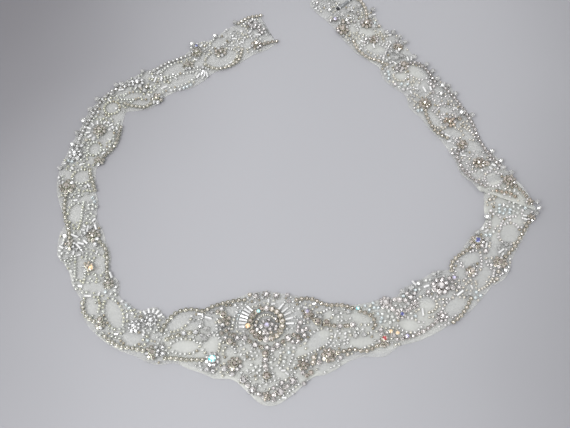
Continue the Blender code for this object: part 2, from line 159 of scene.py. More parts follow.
# Stone lines: x, y and, where a flower sits on the line, the flower's radius.
LINES = {
    "tail_tip_lower": ((-7, 164), (-12, 163), (-17, 161), (-24, 160, 5.0)),
    "tail_tip_upper": ((-21, 193), (-25, 192), (-30, 191), (-35, 188), (-40, 184)),
    "tail_arc": ((-36, 155), (-37, 149), (-39, 143), (-45, 138), (-52, 135), (-59, 135), (-66, 139)),
    "left_top": ((-74, 152, 5.0), (-84, 147), (-92, 143), (-100, 139), (-106, 134), (-111, 131)),
    "left_under": ((-103, 104, 5.4), (-111, 96), (-117, 96), (-123, 97), (-128, 99)),
    "left_shoulder": ((-120, 120, 5.6), (-130, 116), (-139, 112), (-146, 104), (-150, 96), (-153, 87),
                      (-157, 76), (-160, 64), (-161, 51, 5.8)),
    "left_bay": ((-129, 76), (-130, 67), (-131, 61), (-134, 55), (-142, 45, 4.4)),
    "left_side": ((-148, 37), (-147, 32), (-145, 27), (-143, 22), (-142, 19)),
    "left_rim": ((-163, 22, 6.4), (-163, 9), (-162, 1), (-160, -6), (-157, -13), (-154, -26, 4.3)),
    "left_waist": ((-138, -19, 5.4), (-130, -27), (-127, -33), (-126, -40), (-125, -47), (-123, -56, 4.2)),
    "left_heel": ((-139, -70), (-138, -75), (-135, -80), (-125, -86, 3.8)),
    "left_foot": ((-121, -94), (-116, -98), (-110, -101), (-103, -102), (-98, -103), (-88, -105, 5.2)),
    "left_cluster": ((-102, -87, 4.7), (-91, -83, 4.7)),
    "centre_left": ((-83, -90), (-80, -84), (-76, -79), (-71, -76), (-64, -75), (-56, -76),
                    (-50, -73), (-44, -71), (-36, -69), (-28, -68)),
    "sole_left": ((-79, -109), (-73, -109), (-66, -110), (-60, -110), (-48, -110, 5.2)),
    "left_branch": ((-79, -96), (-74, -94), (-68, -92, 2.5), (-60, -91, 2.5)),
    "medallion_crown": ((-20, -65, 2.5), (-13, -64, 2.8), (-6, -65, 2.5)),
    "medallion_garland": ((-27, -95, 2.8), (-20, -100, 2.8), (-12, -102, 2.4), (-5, -100, 2.8),
                          (2, -95, 2.8)),
    "medallion_drop": ((-13, -110, 2.8), (-12, -121, 3.2)),
    "medallion_skirt": ((-27, -123, 3.2), (-21, -130, 3.2), (-12, -134, 3.4), (-3, -131, 3.2),
                        (5, -124, 3.2)),
    "centre_right": ((8, -68), (14, -67), (20, -68), (26, -71), (32, -72), (39, -72), (46, -74)),
    "right_branch": ((16, -79, 3.8), (23, -85, 2.2), (30, -86), (37, -87, 2.4), (46, -86, 2.4)),
    "right_bow": ((51, -76), (56, -78), (60, -81), (61, -86)),
    "sole_right": ((29, -107, 5.2), (40, -104), (47, -103), (54, -104), (66, -98, 4.0)),
    "right_foot": ((75, -96), (82, -95), (90, -92), (97, -88), (107, -80, 4.4)),
    "right_heel": ((114, -84), (119, -80), (124, -74), (128, -67)),
    "right_bloom": ((69, -70, 4.7), (79, -78, 4.1), (89, -71, 3.4)),
    "right_bay": ((138, -24, 5.6), (129, -31), (123, -35), (118, -40), (117, -46)),
    "right_side": ((180, -4, 3.4), (174, -13), (170, -19), (166, -25), (161, -31), (152, -40, 5.2)),
    "fold_corner": ((180, 8, 3.4), (176, 16), (168, 26, 5.2)),
    "fold_edge": ((157, 17), (161, 16), (166, 15), (170, 12)),
    "upper_bay": ((137, 60, 4.6), (132, 50), (133, 44), (135, 37), (139, 31), (144, 25), (149, 21)),
    "upper_rim": ((130, 114), (136, 105), (141, 95), (145, 86), (148, 77), (150, 67), (154, 56),
                  (159, 47), (163, 40)),
    "upper_bow": ((112, 99, 5.4), (112, 88), (115, 78), (119, 71), (126, 66)),
    "upper_top": ((98, 138, 4.9), (108, 141), (114, 137), (118, 130), (122, 121)),
    "end_bow": ((84, 139), (77, 143), (70, 146), (64, 151), (60, 157), (58, 164)),
    "end_rim": ((61, 214), (67, 208), (70, 199), (70, 184, 5.6)),
}

# Flowers that stand alone: x, y and radius.
FLOWERS = {
    "tail_flower": (-54, 152, 5.3), "left_top_flower": (-80, 138, 4.8),
    "left_shoulder_flower": (-145, 73, 5.4), "left_waist_flower": (-139, -43, 4.2),
    "skirt_flower_left": (-33, -113, 5.2), "skirt_flower_right": (12, -113, 4.2),
    "right_burst_flower": (108, -58, 6.8), "right_heel_flower": (131, -47, 4.6),
    "upper_bay_flower": (148, 43, 5.2), "upper_bow_flower": (130, 81, 5.4),
    "upper_top_flower": (95, 158, 4.6), "end_bow_flower": (75, 166, 4.7),
    "end_flower": (49, 177, 5.8),
}

# Bugle fans beside the medallion: first bugle's angle, last bugle's angle in degrees, bugles.
BUGLE_FANS = {"bugle_fan_left": (136, 186, 7), "bugle_fan_right": (2, 52, 5)}

# Tones of set stones: the colour of the flat table, and three more that the other facets share. Besides the
# stone's own colour, the bright and near-black facets are painted reflections and glints.
STONE_TONES_AND_PAINTED_GLINTS = {
    "clear": ((1.00, 1.00, 1.00), (0.95, 0.96, 0.98), (0.62, 0.63, 0.64), (0.10, 0.10, 0.10)),
    "pale": ((1.00, 1.00, 1.00), (0.96, 0.96, 0.96), (0.84, 0.84, 0.83), (0.40, 0.40, 0.39)),
    "light": ((1.00, 0.98, 0.94), (0.92, 0.89, 0.82), (0.68, 0.63, 0.54), (0.34, 0.31, 0.26)),
    "champagne": ((0.98, 0.95, 0.89), (0.82, 0.78, 0.68), (0.50, 0.45, 0.34), (0.17, 0.15, 0.11)),
    "smoke": ((0.55, 0.50, 0.45), (0.98, 0.96, 0.94), (0.22, 0.18, 0.14), (0.06, 0.05, 0.04)),
    "amber": ((0.74, 0.64, 0.54), (0.62, 0.50, 0.40), (0.34, 0.25, 0.19), (0.13, 0.10, 0.08)),
    "orange": ((1.00, 0.72, 0.45), (1.00, 0.50, 0.22), (0.60, 0.32, 0.16), (0.95, 0.90, 0.82)),
    "cyan": ((0.80, 1.00, 1.00), (0.12, 0.80, 0.82), (0.08, 0.62, 0.66), (0.55, 0.95, 0.95)),
    "blue": ((0.09, 0.10, 0.26), (0.42, 0.46, 0.74), (0.20, 0.15, 0.13), (0.80, 0.82, 0.92)),
    "lilac": ((0.72, 0.72, 1.00), (0.88, 0.86, 1.00), (0.45, 0.42, 0.72), (0.95, 0.95, 1.00)),
    "red": ((0.40, 0.07, 0.08), (0.72, 0.46, 0.43), (0.22, 0.06, 0.06), (0.86, 0.80, 0.78)),
}
# Tones whose stones show painted flashes of dispersed light, in bright facet colours and a glow.
FLASH_TONES = ("orange", "cyan", "blue", "red")
COOL_TONES = ("clear", "pale", "lilac", "cyan")
METAL_SHADES = {"pale": 0.72, "light": 0.70}
METAL_SHADE = 0.57
ARM_SHINE = 0.16
ARM_START = 60.0
LINE_PITCHES = {"left_under": 3.1}


def tones_of(**names):
    """A table from name to tone, out of the names under each tone."""
    return {name: tone for tone, group in names.items() for name in group.split()}


LINE_TONES = tones_of(
    amber="fold_edge",
    clear="upper_bay upper_rim upper_top",
    light="tail_tip_upper tail_arc left_heel left_foot end_bow end_rim",
    pale="left_top left_shoulder medallion_drop medallion_skirt right_foot right_bloom",
    smoke="tail_tip_lower left_bay medallion_garland fold_corner",
)
KNOT_TONES = tones_of(clear="left_shoulder left_cluster sole_left right_foot", pale="right_bloom")
FLOWER_TONES = tones_of(amber="left_waist_flower upper_bow_flower", clear="right_burst_flower")

# Stretches where the net's margin is doubled and shows white, with the columns of WINDOWS.
WHITE_MARGINS = (
    (150, -1, 15, 9, 50), (-14, -128, 38, 16, 0), (-52, -116, 20, 8, 0), (22, -116, 24, 9, 0),
    (164, 3, 15, 8, -30), (-148, -48, 12, 10, -60),
)

# Stretches where the net is closer and whiter all over, with the same columns.
VEILS = (
    (66, -84, 46, 19, 5), (-12, -114, 34, 22, 0), (-62, -100, 22, 12, 0), (68, 176, 26, 15, -57),
    (160, 4, 18, 14, -30), (148, -10, 10, 12, 0), (100, 130, 14, 12, -50),
)

# Bands strewn with set stones: half width, pitch, tone and the points of the middle line.
STONE_BANDS = (
    (3.6, 3.5, "clear", ((-28, -122), (-24, -128), (-17, -132), (-10, -134), (-3, -130), (4, -125))),
    (3.0, 3.6, "smoke", ((-42, -80), (-40, -90), (-37, -97), (-30, -95), (-22, -98), (-13, -101),
                         (-5, -98), (1, -94), (9, -97))),
    (3.2, 3.8, "clear", ((-39, -112), (-35, -118), (-30, -119))),
    (3.0, 3.8, "smoke", ((9, -112), (13, -117), (15, -121))),
    (2.6, 3.9, "champagne", ((16, -112), (22, -110), (28, -106), (36, -106), (44, -104))),
    (2.4, 3.9, "smoke", ((-48, -74), (-42, -78), (-38, -84))),
    (2.6, 4.0, "clear", ((-57, -90), (-53, -92), (-56, -97))),
    (2.4, 4.0, "clear", ((-54, -116), (-47, -118))),
    (3.4, 4.2, "clear", ((6, -82), (10, -88), (14, -93))),
    (3.2, 4.0, "pale", ((62, -92), (70, -94), (78, -94))),
    (4.0, 3.9, "clear", ((98, -60), (108, -58), (117, -55))),
    (3.6, 4.0, "pale", ((70, -68), (80, -66), (90, -62))),
    (3.2, 4.0, "smoke", ((132, -22), (140, -25), (144, -31))),
    (3.0, 4.0, "clear", ((-158, -18), (-152, -25), (-146, -28))),
    (3.4, 4.0, "clear", ((-143, -14), (-138, -20), (-134, -24))),
    (3.2, 4.0, "smoke", ((-104, -88), (-99, -84), (-92, -83))),
    (3.0, 3.8, "clear", ((-92, -106), (-86, -106), (-80, -104))),
    (3.4, 4.2, "clear", ((-162, 46), (-158, 50), (-160, 58))),
    (3.2, 4.2, "smoke", ((-122, 122), (-118, 116), (-112, 114))),
    (3.0, 4.2, "clear", ((-80, 154), (-74, 150), (-68, 154))),
    (3.2, 4.2, "clear", ((-30, 186), (-24, 180), (-18, 172))),
    (3.2, 4.2, "smoke", ((52, 172), (48, 180), (54, 186))),
    (3.2, 4.2, "clear", ((94, 132), (99, 140), (104, 146))),
    (3.2, 4.2, "smoke", ((126, 78), (132, 82), (136, 86))),
    (3.2, 4.2, "clear", ((146, 44), (152, 46), (156, 40))),
)

# Sprays of bugles: x, y, inner and outer radius, first and last angle in degrees, bugles.
SPRAYS = (
    (-134, -20, 6.0, 10.5, 75, 170, 6), (-151, -24, 2.6, 7.6, 95, 345, 9),
    (104, 137, 5.4, 9.6, 40, 150, 6), (93, -60, 3.0, 7.4, 20, 200, 6), (-91, -83, 5.2, 8.6, 30, 130, 5),
    (-146, 72, 6.0, 9.6, 100, 250, 6), (152, 44, 5.6, 9.0, -60, 60, 5), (140, -20, 5.6, 9.0, 40, 140, 5),
    (-74, 152, 5.6, 9.0, 60, 150, 4),
)

# Bright white round beads: x and y.
PEARLS = (
    (-28, 188.5), (-37, 175), (-109, 116), (-134.5, 94), (-148.5, 90.5), (-137, 73.5), (40.5, -92),
    (149, 36), (-34, -72), (-33, -77), (6, -102), (-85, 113), (-92, 112), (-95, -93), (-112, -69),
    (-104, -78),
)

# Bare stretches of net between the motifs: x, y, half length, half width, turn in degrees.
WINDOWS = (
    (-53, 146, 13, 8, 25), (-56, 163, 7, 4, 40), (-91, 134, 11, 4.5, 32), (-84, 123, 12, 4, 30),
    (-122, 107, 7, 2.6, 10), (-115, 100, 7, 2.6, -5), (-138, 95, 5, 5, 0), (-147, 56, 5, 4, 80),
    (-153, 31, 6, 5, 0), (-154, -1, 4.5, 8, 0), (-144, -45, 3, 8, 5), (-131, -42, 4.5, 7, 5),
    (-134, -72, 4, 7, 15), (-117, -78, 5, 11, 25), (-103, -95, 7, 4, -10), (-72, -83, 9, 4.5, 40),
    (-67, -101, 9, 4, 0), (-50, -99, 5, 7, 20), (-37, -76, 4, 4, 0), (-37, -105, 3, 3, 0),
    (-14, -77, 4, 2.5, 0), (-5, -105, 3, 4, 0), (22, -96, 9, 4.5, 38), (27, -79, 5, 3, 20),
    (51, -80, 8, 4, -25), (50, -97, 9, 3.6, 0), (84, -86, 7, 4, -10), (97, -71, 6, 5, 0),
    (116, -73, 9, 4.5, 42), (131, -37, 8, 4.5, 25), (123, -47, 3.2, 6, 0), (139, -50, 3.5, 8, -30),
    (162, -17, 6, 8, -35), (153, -7, 3.5, 5, -20), (156, 28, 5, 6, 0), (118, 84, 3.5, 8, 25),
    (128, 93, 5, 3, 0), (131, 71, 7, 4, -15), (109, 131, 8, 5.5, -45), (95, 127, 5, 4, 0),
    (77, 155, 10, 5, -25), (70, 175, 7, 4, -25), (61, 207, 4, 4, 0),
)

# Stretches of pale milky beads, with the same columns.
MILKY = (
    (-67, 129, 5, 5, 0), (-82, 114, 8, 4, 25), (-141, 6, 4, 8, 15), (-164, 45, 4, 5, 0),
    (-116, -67, 12, 4, -38), (-92, -78, 6, 4, 10), (-94, -95, 4, 4, 0), (62, -71, 8, 4, 20),
    (76, -80, 15, 7, 0), (46, -93, 9, 5, 0), (88, -60, 10, 4, 25), (100, -57, 4, 4, 0),
    (134, -64, 4, 4, 0), (165, 3, 14, 5, 8), (147, -4, 3.5, 5, 0), (147, -16, 4, 4, 0),
    (84, 143, 4, 5, 0), (85, 128, 4, 6, 20), (96, 117, 5, 4, -30), (73, 182, 6, 4, 0),
    (-158, -32, 6, 5, 0), (-149, -52, 4, 6, 20), (-2, -108, 8, 5, 0), (-16, -114, 8, 5, 0),
    (108, 94, 5, 4, 0),
)

# Rows of small beads that follow the scrolls.
ROWS = (
    ((-100, 123), (-95, 125), (-90, 127), (-84, 131)),
    ((-131, 103), (-126, 103), (-121, 103), (-117, 105)),
    ((-149, 9), (-149, 0), (-149, -8), (-150, -14)),
    ((-159, 35), (-161, 30), (-161, 25)),
    ((-141, -35), (-141, -42), (-140, -50), (-141, -57)),
    ((-149, -35), (-148, -43), (-147, -52)),
    ((-129, -66), (-127, -72), (-128, -79)),
    ((-87, -84), (-85, -88), (-89, -92)),
    ((-46, -82), (-46, -90), (-43, -97), (-38, -99), (-33, -103)),
    ((-34, -71), (-34, -78), (-35, -84), (-36, -90)),
    ((-3, -103), (-3, -109), (-5, -114)),
    ((6, -100), (5, -108), (2, -115)),
    ((12, -76), (13, -84), (12, -92), (10, -100)),
    ((19, -81), (25, -77), (31, -74)),
    ((31, -90), (31, -96), (26, -101), (18, -105), (11, -108)),
    ((47, -91), (53, -92), (60, -91)),
    ((37, -92), (42, -96), (41, -100)),
    ((139, -32), (139, -39), (137, -46), (131, -52), (125, -57)),
    ((147, -46), (145, -52), (141, -57), (134, -61)),
    ((150, -1), (149, -9), (148, -16)),
    ((156, -13), (158, -8), (162, -4), (169, -3)),
    ((163, 32), (163, 25), (167, 20)),
    ((124, 88), (129, 89), (134, 87)),
    ((122, 97), (128, 99), (136, 97)),
    ((138, 79), (142, 75), (146, 71), (148, 66)),
    ((101, 128), (101, 121), (107, 121)),
    ((88, 160), (85, 154), (83, 148)),
    ((60, 182), (62, 177), (60, 170)),
)

# Round clear beads, mostly along the edges: x, y and radius.
CRYSTALS = (
    (-137, 114, 2.1), (-132, 116, 2.0), (-127, 119, 1.8), (-142, 108, 2.1), (-149, 100, 2.2),
    (-154, 91, 2.2), (-158, 81, 2.2), (-162, 70, 2.1), (-164, 59, 2.0), (-168, 42, 1.9), (-171, 38, 1.7),
    (-43, 185, 1.9), (-59, 169, 2.0), (-78, 160, 2.1), (-117, 131, 1.8), (-57, -87, 1.8), (-53, -89, 1.8),
    (-54, -96, 1.9), (22, -84, 1.9), (35, -77, 1.8), (43, -77, 1.8), (47, -94, 1.8), (53, -93, 1.8),
    (93, -56, 2.2), (87, -60, 2.0), (81, -62, 1.9), (104, -49, 1.8), (107, -48, 1.9), (145, -22, 2.0),
    (147, -4, 2.6), (138, -17, 1.9), (158, -26, 1.9), (155, -45, 2.0), (184, -3, 1.9), (185, 2, 1.8),
    (184, 9, 1.8), (164, 37, 2.2), (163, 44, 2.0), (157, 53, 2.0), (143, 91, 2.4), (136, 106, 1.9),
    (131, 116, 2.0), (103, 161, 2.0), (97, 168, 2.0), (88, 152, 1.9), (93, 151, 2.1), (92, 145, 2.1),
    (76, 199, 2.0), (39, 199, 1.9), (60, 196, 1.8), (72, 191, 1.8), (146, 86, 2.2), (129, 114, 2.3),
    (126, 108, 2.1), (92, 173, 2.1), (86, 173, 2.0), (115, 139, 2.1), (97, 147, 2.0), (49, 193, 2.0),
    (55, 198, 2.0), (53, 187, 2.0), (64, 203, 2.1), (75, 179, 2.1), (108, 146, 2.1), (119, 131, 2.1),
    (123, 123, 2.1), (169, 31, 2.0),
)

# Loose bugles: x and y of the middle, direction in degrees and length.
BUGLES = (
    (-104, 130.5, 60, 4.5), (-106, 123, 75, 5.5), (-101, 124, 85, 4.5), (-98, 115, 35, 5.5),
    (-134, 115, 15, 4.5), (-23, 171, 0, 5.0), (-30, 174, 50, 4.0), (-143, -14, 88, 5.5),
    (-153, -19, -25, 6.0), (-147, 23, -50, 3.5), (-136, -65, 0, 5.0), (-122, -53, -65, 5.0),
    (-159, -28, -30, 4.0), (-143, -24, -40, 4.0), (121, -63, 38, 6.0), (154, -31, 38, 5.5),
    (144, -26, 72, 4.5), (94, -77, 92, 5.5), (-52, -81, -15, 5.0), (126, 67, -35, 4.5),
    (113, 113, -68, 5.5), (118, 114, -80, 4.5), (76, 161, -80, 4.5), (54, 188, 0, 5.0),
    (56, 199, -80, 5.0), (-68, 130, 78, 5.5), (-66, 129, 90, 6.0), (-64, 129, 105, 5.5),
    (-71, 127, 65, 5.0),
)

# Stones that flash a colour, painted in their facet colours and in a glow of their own: x, y, radius and
# tone.
FLASHES = (
    (-48, -110, 2.7, "cyan"), (22, -84.5, 2.1, "smoke"), (28, -85, 2.0, "smoke"),
    (-42, -79, 2.0, "smoke"), (-37, -98, 2.0, "smoke"), (-22, -80, 1.6, "smoke"),
    (-13, -106.5, 2.0, "smoke"), (-12, -121, 2.2, "smoke"), (153, 41, 1.9, "smoke"),
    (-125, -83, 1.9, "smoke"), (-25, -87.5, 1.9, "orange"), (-18, -77, 1.2, "cyan"),
    (-136, -45, 1.9, "orange"), (66.5, -96, 1.8, "red"), (71, -91, 1.3, "orange"),
    (75.5, -92, 1.3, "orange"), (81.5, -94.5, 1.6, "lilac"), (138, -23.5, 2.3, "blue"),
    (118, -52, 1.6, "lilac"), (49.5, -75, 1.3, "cyan"), (43, 187.5, 1.9, "lilac"),
    (15, -77, 1.5, "lilac"), (79.5, -79, 1.6, "blue"), (-74, 157, 1.4, "blue"),
)


# Curves and sections

def polar(angle):
    return Vector((math.cos(angle), math.sin(angle)))


def around(x, y, reach, angle):
    return x + reach * math.cos(angle), y + reach * math.sin(angle)


def angles(first, last, count):
    """Even angles in radians from the first to the last, which are in degrees."""
    return [math.radians(first + (last - first) * index / (count - 1)) for index in range(count)]


def ease(value, start, stop):
    """0 up to the start and 1 from the stop on, even between them."""
    return min(max((value - start) / (stop - start), 0.0), 1.0)


def curve_point(rows, position):
    """Catmull-Rom curve through rows of equal length, read at a fractional row number."""
    last = len(rows) - 1
    index = min(int(position), last - 1)
    t = position - index
    before = rows[max(index - 1, 0)]
    start, end = rows[index], rows[index + 1]
    after = rows[min(index + 2, last)]
    return [
        0.5 * (2 * b + (c - a) * t + (2 * a - 5 * b + 4 * c - d) * t ** 2 + (3 * b - a - 3 * c + d) * t ** 3)
        for a, b, c, d in zip(before, start, end, after)
    ]


class Section:
    """A line across the band: its middle, its outward direction, its widths and its run."""

    def __init__(self, middle, heading, outer, inner, lean, run):
        self.middle = middle
        self.heading = heading
        self.across = polar(math.atan2(-heading.x, heading.y) + math.radians(lean))
        self.outer = outer
        self.inner = inner
        self.run = run

    def point(self, offset):
        return self.middle + self.across * offset

    def beyond(self, place):
        """How far a place lies past this section along the band."""
        return self.across.x * (place - self.middle).y - self.across.y * (place - self.middle).x


def band_sections(rows, cuts):
    steps = (len(rows) - 1) * cuts
    values = [curve_point(rows, step / cuts) for step in range(steps + 1)]
    sections, run = [], 0.0
    for index, (x, y, outer, inner, lean) in enumerate(values):
        back = values[max(index - 1, 0)]
        ahead = values[min(index + 1, steps)]
        heading = Vector((ahead[0] - back[0], ahead[1] - back[1])).normalized()
        middle = Vector((x, y))
        if sections:
            run += (middle - sections[-1].middle).length
        sections.append(Section(middle, heading, outer, inner, lean, run))
    return sections


def level(run):
    """Height of the main run's underside, which lies flat."""
    return 0.0


def lift(run):
    """Height of the upper run's underside, raised where it lies over the folded layers."""
    if run <= FOLD_FLAT_RUN:
        return FOLD_LIFT
    if run >= FOLD_END_RUN:
        return 0.0
    share = (run - FOLD_FLAT_RUN) / (FOLD_END_RUN - FOLD_FLAT_RUN)
    return FOLD_LIFT * 0.5 * (1 + math.cos(math.pi * share))


MAIN = band_sections(MAIN_ROWS, NET_ROW_CUTS)
UPPER = band_sections(UPPER_ROWS, NET_ROW_CUTS)
LEFT_ARM = MAIN[:LEFT_SEAM_ROW * NET_ROW_CUTS + 1]
CENTRE = MAIN[LEFT_SEAM_ROW * NET_ROW_CUTS:RIGHT_SEAM_ROW * NET_ROW_CUTS + 1]
RIGHT_ARM = MAIN[RIGHT_SEAM_ROW * NET_ROW_CUTS:]


def upper_place(place):
    """The upper run's run and offset share at a place, or None off it."""
    if UPPER[0].beyond(place) < 0:
        return None
    for near, far in zip(UPPER, UPPER[1:]):
        past, short = near.beyond(place), -far.beyond(place)
        if past >= 0 and short >= 0:
            share = past / max(past + short, 1e-6)
            run = near.run + (far.run - near.run) * share
            offset = near.across.dot(place - near.middle)
            width = near.outer if offset > 0 else near.inner
            if abs(offset) < width * 2:
                return run, abs(offset) / width
    return None


def top_at(place):
    """Height of the net's upper face at a place."""
    found = upper_place(Vector(place[:2]))
    return NET_THICK + (lift(found[0]) if found else 0.0)


def on_band(spot, margin=MARGIN):
    """Whether a place lies on the band, inside its edges by a margin."""
    place = Vector(spot)
    for sections in (MAIN, UPPER):
        for near, far in zip(sections[::2], sections[2::2]):
            if (place - near.middle).length > WIDEST:
                continue
            if near.beyond(place) >= 0 and far.beyond(place) <= 0:
                offset = near.across.dot(place - near.middle)
                if -near.inner + margin < offset < near.outer - margin:
                    return True
    return False


def in_notch(spot):
    """Whether a place lies in the notch at the band's free end, or on its margin."""
    return MAIN[0].beyond(spot) < NOTCH_DEPTH + MARGIN


def under_upper(spot):
    """Whether a place on the main run is hidden under the upper one."""
    found = upper_place(spot)
    return bool(found) and found[1] < 1.05


class Track:
    """A smooth line through points, read by its run."""

    CUTS = 16

    def __init__(self, points):
        rows = [point[:2] for point in points]
        steps = (len(rows) - 1) * self.CUTS
        self.places = [Vector(curve_point(rows, step / self.CUTS)) for step in range(steps + 1)]
        self.runs = [0.0]
        for before, after in zip(self.places, self.places[1:]):
            self.runs.append(self.runs[-1] + (after - before).length)
        self.length = self.runs[-1]
        self.knots = [(self.runs[index * self.CUTS], point[2])
                      for index, point in enumerate(points) if len(point) > 2]

    def at(self, run):
        index = 1
        while index < len(self.runs) - 1 and self.runs[index] < run:
            index += 1
        before, after = self.places[index - 1], self.places[index]
        span = max(self.runs[index] - self.runs[index - 1], 1e-9)
        return before.lerp(after, (run - self.runs[index - 1]) / span), (after - before).normalized()

    def stretches(self, room):
        """The runs between the flowers, each shortened by the room that an end flower needs."""
        start = 0.0
        found = []
        for run, radius in self.knots:
            if run - radius - room > start:
                found.append((start, run - radius - room))
            start = run + radius + room
        if start < self.length:
            found.append((start, self.length))
        return found


# Small shapes, one unit in radius

class Shape:
    """A small closed form about the origin, with a kind of surface for each face."""

    def __init__(self):
        self.verts = []
        self.faces = []
        self.kinds = []
        self.smooth = []

    def face(self, corners, kind, smooth=False):
        self.faces.append(tuple(corners))
        self.kinds.append(kind)
        self.smooth.append(smooth)

    def ring(self, sides, radius, height):
        """Adds a ring of verts and gives their numbers."""
        start = len(self.verts)
        for side in range(sides):
            angle = math.tau * side / sides
            self.verts.append((radius * math.cos(angle), radius * math.sin(angle), height))
        return list(range(start, start + sides))

    def wall(self, low, high, kind, smooth=False):
        """Joins two rings of equal count, the first one lower on the outside."""
        sides = len(low)
        for side in range(sides):
            after = (side + 1) % sides
            self.face((low[side], low[after], high[after], high[side]), kind, smooth)

    def turned(self, profile, sides, kind, smooth, bore="lining"):
        """A closed profile turned about Z. Its first wall is the bore, with a kind of its own."""
        rings = [self.ring(sides, radius, height) for radius, height in profile]
        for index, ring in enumerate(rings):
            self.wall(ring, rings[(index + 1) % len(rings)], kind if index else bore, smooth)
        return self


def stone_shape(sides, table, high, kind="stone"):
    """A cut stone: a flat table, three crown facets to each of its sides and a shallow back."""
    shape = Shape()
    top = shape.ring(sides, table, high)
    belt = shape.ring(sides * 2, 1.0, 0.12)
    shape.verts.append((0.0, 0.0, -0.25))
    back = len(shape.verts) - 1
    shape.face(top, kind)
    for side in range(sides):
        after = (side + 1) % sides
        low, middle, high_side = belt[side * 2], belt[side * 2 + 1], belt[(side * 2 + 2) % len(belt)]
        shape.face((top[side], low, middle), kind)
        shape.face((top[side], middle, top[after]), kind)
        shape.face((top[after], middle, high_side), kind)
    for side in range(len(belt)):
        shape.face((belt[(side + 1) % len(belt)], belt[side], back), kind)
    return shape


CUP_PROFILE = ((0.86, -0.6), (1.08, -0.6), (1.2, 0.16), (0.98, 0.2))
CLAW_PROFILE = ((1.2, -0.1), (1.14, 0.3), (0.84, 0.42), (0.98, 0.12))
BAR_PROFILE = ((0.8, -1.0), (1.0, -0.94), (1.0, 0.94), (0.8, 1.0))


def cup_shape(sides, prongs):
    """A metal setting: a ring wall with small claws bent over the stone's edge."""
    shape = Shape()
    shape.turned(CUP_PROFILE, sides, "metal", False, "metal")
    for prong in range(prongs):
        out = polar(math.tau * (prong + 0.5) / prongs).to_3d()
        side = Vector((-out.y, out.x, 0)) * 0.16
        base = len(shape.verts)
        for reach, height in CLAW_PROFILE:
            for sign in (-1, 1):
                shape.verts.append(tuple(out * reach + side * sign + Vector((0, 0, height))))
        for low, high in ((0, 2), (2, 4), (4, 6), (6, 0)):
            shape.face((base + low, base + low + 1, base + high + 1, base + high), "metal")
        shape.face((base, base + 2, base + 4, base + 6), "metal")
        shape.face((base + 7, base + 5, base + 3, base + 1), "metal")
    return shape


def bar_shape(sides):
    """A closed round bar along Z with worn rims."""
    shape = Shape()
    rings = [shape.ring(sides, radius, height) for radius, height in BAR_PROFILE]
    for low, high in zip(rings, rings[1:]):
        shape.wall(low, high, "bar", True)
    shape.face(rings[-1], "bar")
    shape.face(rings[0][::-1], "bar")
    return shape


# Profiles of the beads, the bugle and the thread: radius and height of each ring
SEED_PROFILE = ((0.38, 0.48), (0.38, -0.48), (0.78, -0.62), (1.0, 0.0), (0.78, 0.62))
CRYSTAL_PROFILE = ((0.2, 0.88), (0.2, -0.88), (0.62, -0.8), (0.97, -0.3), (0.97, 0.3), (0.62, 0.8))
BUGLE_PROFILE = ((0.55, 1.0), (0.55, -1.0), (0.86, -1.0), (1.0, -0.95), (1.0, 0.95), (0.86, 1.0))
WRAP_PROFILE = ((0.86, 0.4), (0.86, -0.4), (1.0, -0.4), (1.1, 0.0), (1.0, 0.4))
SHAPES = {
    "stone": stone_shape(8, 0.55, 0.62),
    "small_stone": stone_shape(6, 0.5, 0.66),
    "flash": stone_shape(8, 0.55, 0.62, "flash"),
    "claw_cup": cup_shape(10, 4),
    "cup": cup_shape(8, 0),
    "seed": Shape().turned(SEED_PROFILE, 8, "bead", True),
    "silver_seed": Shape().turned(SEED_PROFILE, 8, "silver", True),
    "crystal": Shape().turned(CRYSTAL_PROFILE, 9, "glass", False),
    "bugle": Shape().turned(BUGLE_PROFILE, 8, "tube", False),
    "bar": bar_shape(16),
    "wrap": Shape().turned(WRAP_PROFILE, 16, "thread", True, "thread"),
}


def axes_upright(turn, tilt=0.0, toward=0.0):
    """Axes of a piece that stands on the net, turned about Z and tipped toward a direction."""
    tip = Matrix.Rotation(tilt, 3, Vector((-math.sin(toward), math.cos(toward), 0)))
    return np.array(tip @ Matrix.Rotation(turn, 3, "Z"))


def axes_lying(heading, roll, dip=0.0):
    """Axes of a piece whose own Z lies along a heading on the net."""
    lay = Matrix.Rotation(heading, 3, "Z") @ Matrix.Rotation(math.pi / 2 + dip, 3, "Y")
    return np.array(lay @ Matrix.Rotation(roll, 3, "Z"))


# Materials

def feed(node, inputs):
    """Sets a node's sockets, or links them where the value is another node's socket."""
    for socket, value in inputs.items():
        if isinstance(value, bpy.types.NodeSocket):
            node.id_data.links.new(value, node.inputs[socket])
        else:
            node.inputs[socket].default_value = value


def node_maker(tree):
    """A short way to add a node with its settings and inputs."""
    def make(kind, inputs=None, **settings):
        node = tree.nodes.new(kind)
        for key, value in settings.items():
            setattr(node, key, value)
        feed(node, inputs or {})
        return node

    return make


def spread(make, value, low, high, start=0.3, stop=0.7):
    """Maps a stretch of a value, the middle of a noise unless it is given, to a range."""
    return make("ShaderNodeMapRange", {"Value": value, "From Min": start, "From Max": stop,
                                       "To Min": low, "To Max": high}).outputs["Result"]


def ramp(make, value, low, high, interpolation="LINEAR"):
    """A colour ramp between two stops, each a position and a colour."""
    node = make("ShaderNodeValToRGB", {"Fac": value})
    node.color_ramp.interpolation = interpolation
    for element, (position, colour) in zip(node.color_ramp.elements, (low, high)):
        element.position = position
        element.color = (*colour, 1)
    return node.outputs["Color"]


def cloudy(make, spot, scale, detail):
    return make("ShaderNodeTexNoise", {"Vector": spot, "Scale": scale, "Detail": detail}).outputs[0]


def joined(make, operation, first, second):
    return make("ShaderNodeMath", {0: first, 1: second}, operation=operation).outputs[0]


def relief(make, height, strength, depth):
    return make("ShaderNodeBump", {"Height": height, "Strength": strength,
                                   "Distance": depth * MM}).outputs["Normal"]


def shader_of(material):
    return material.node_tree.nodes["Principled BSDF"]


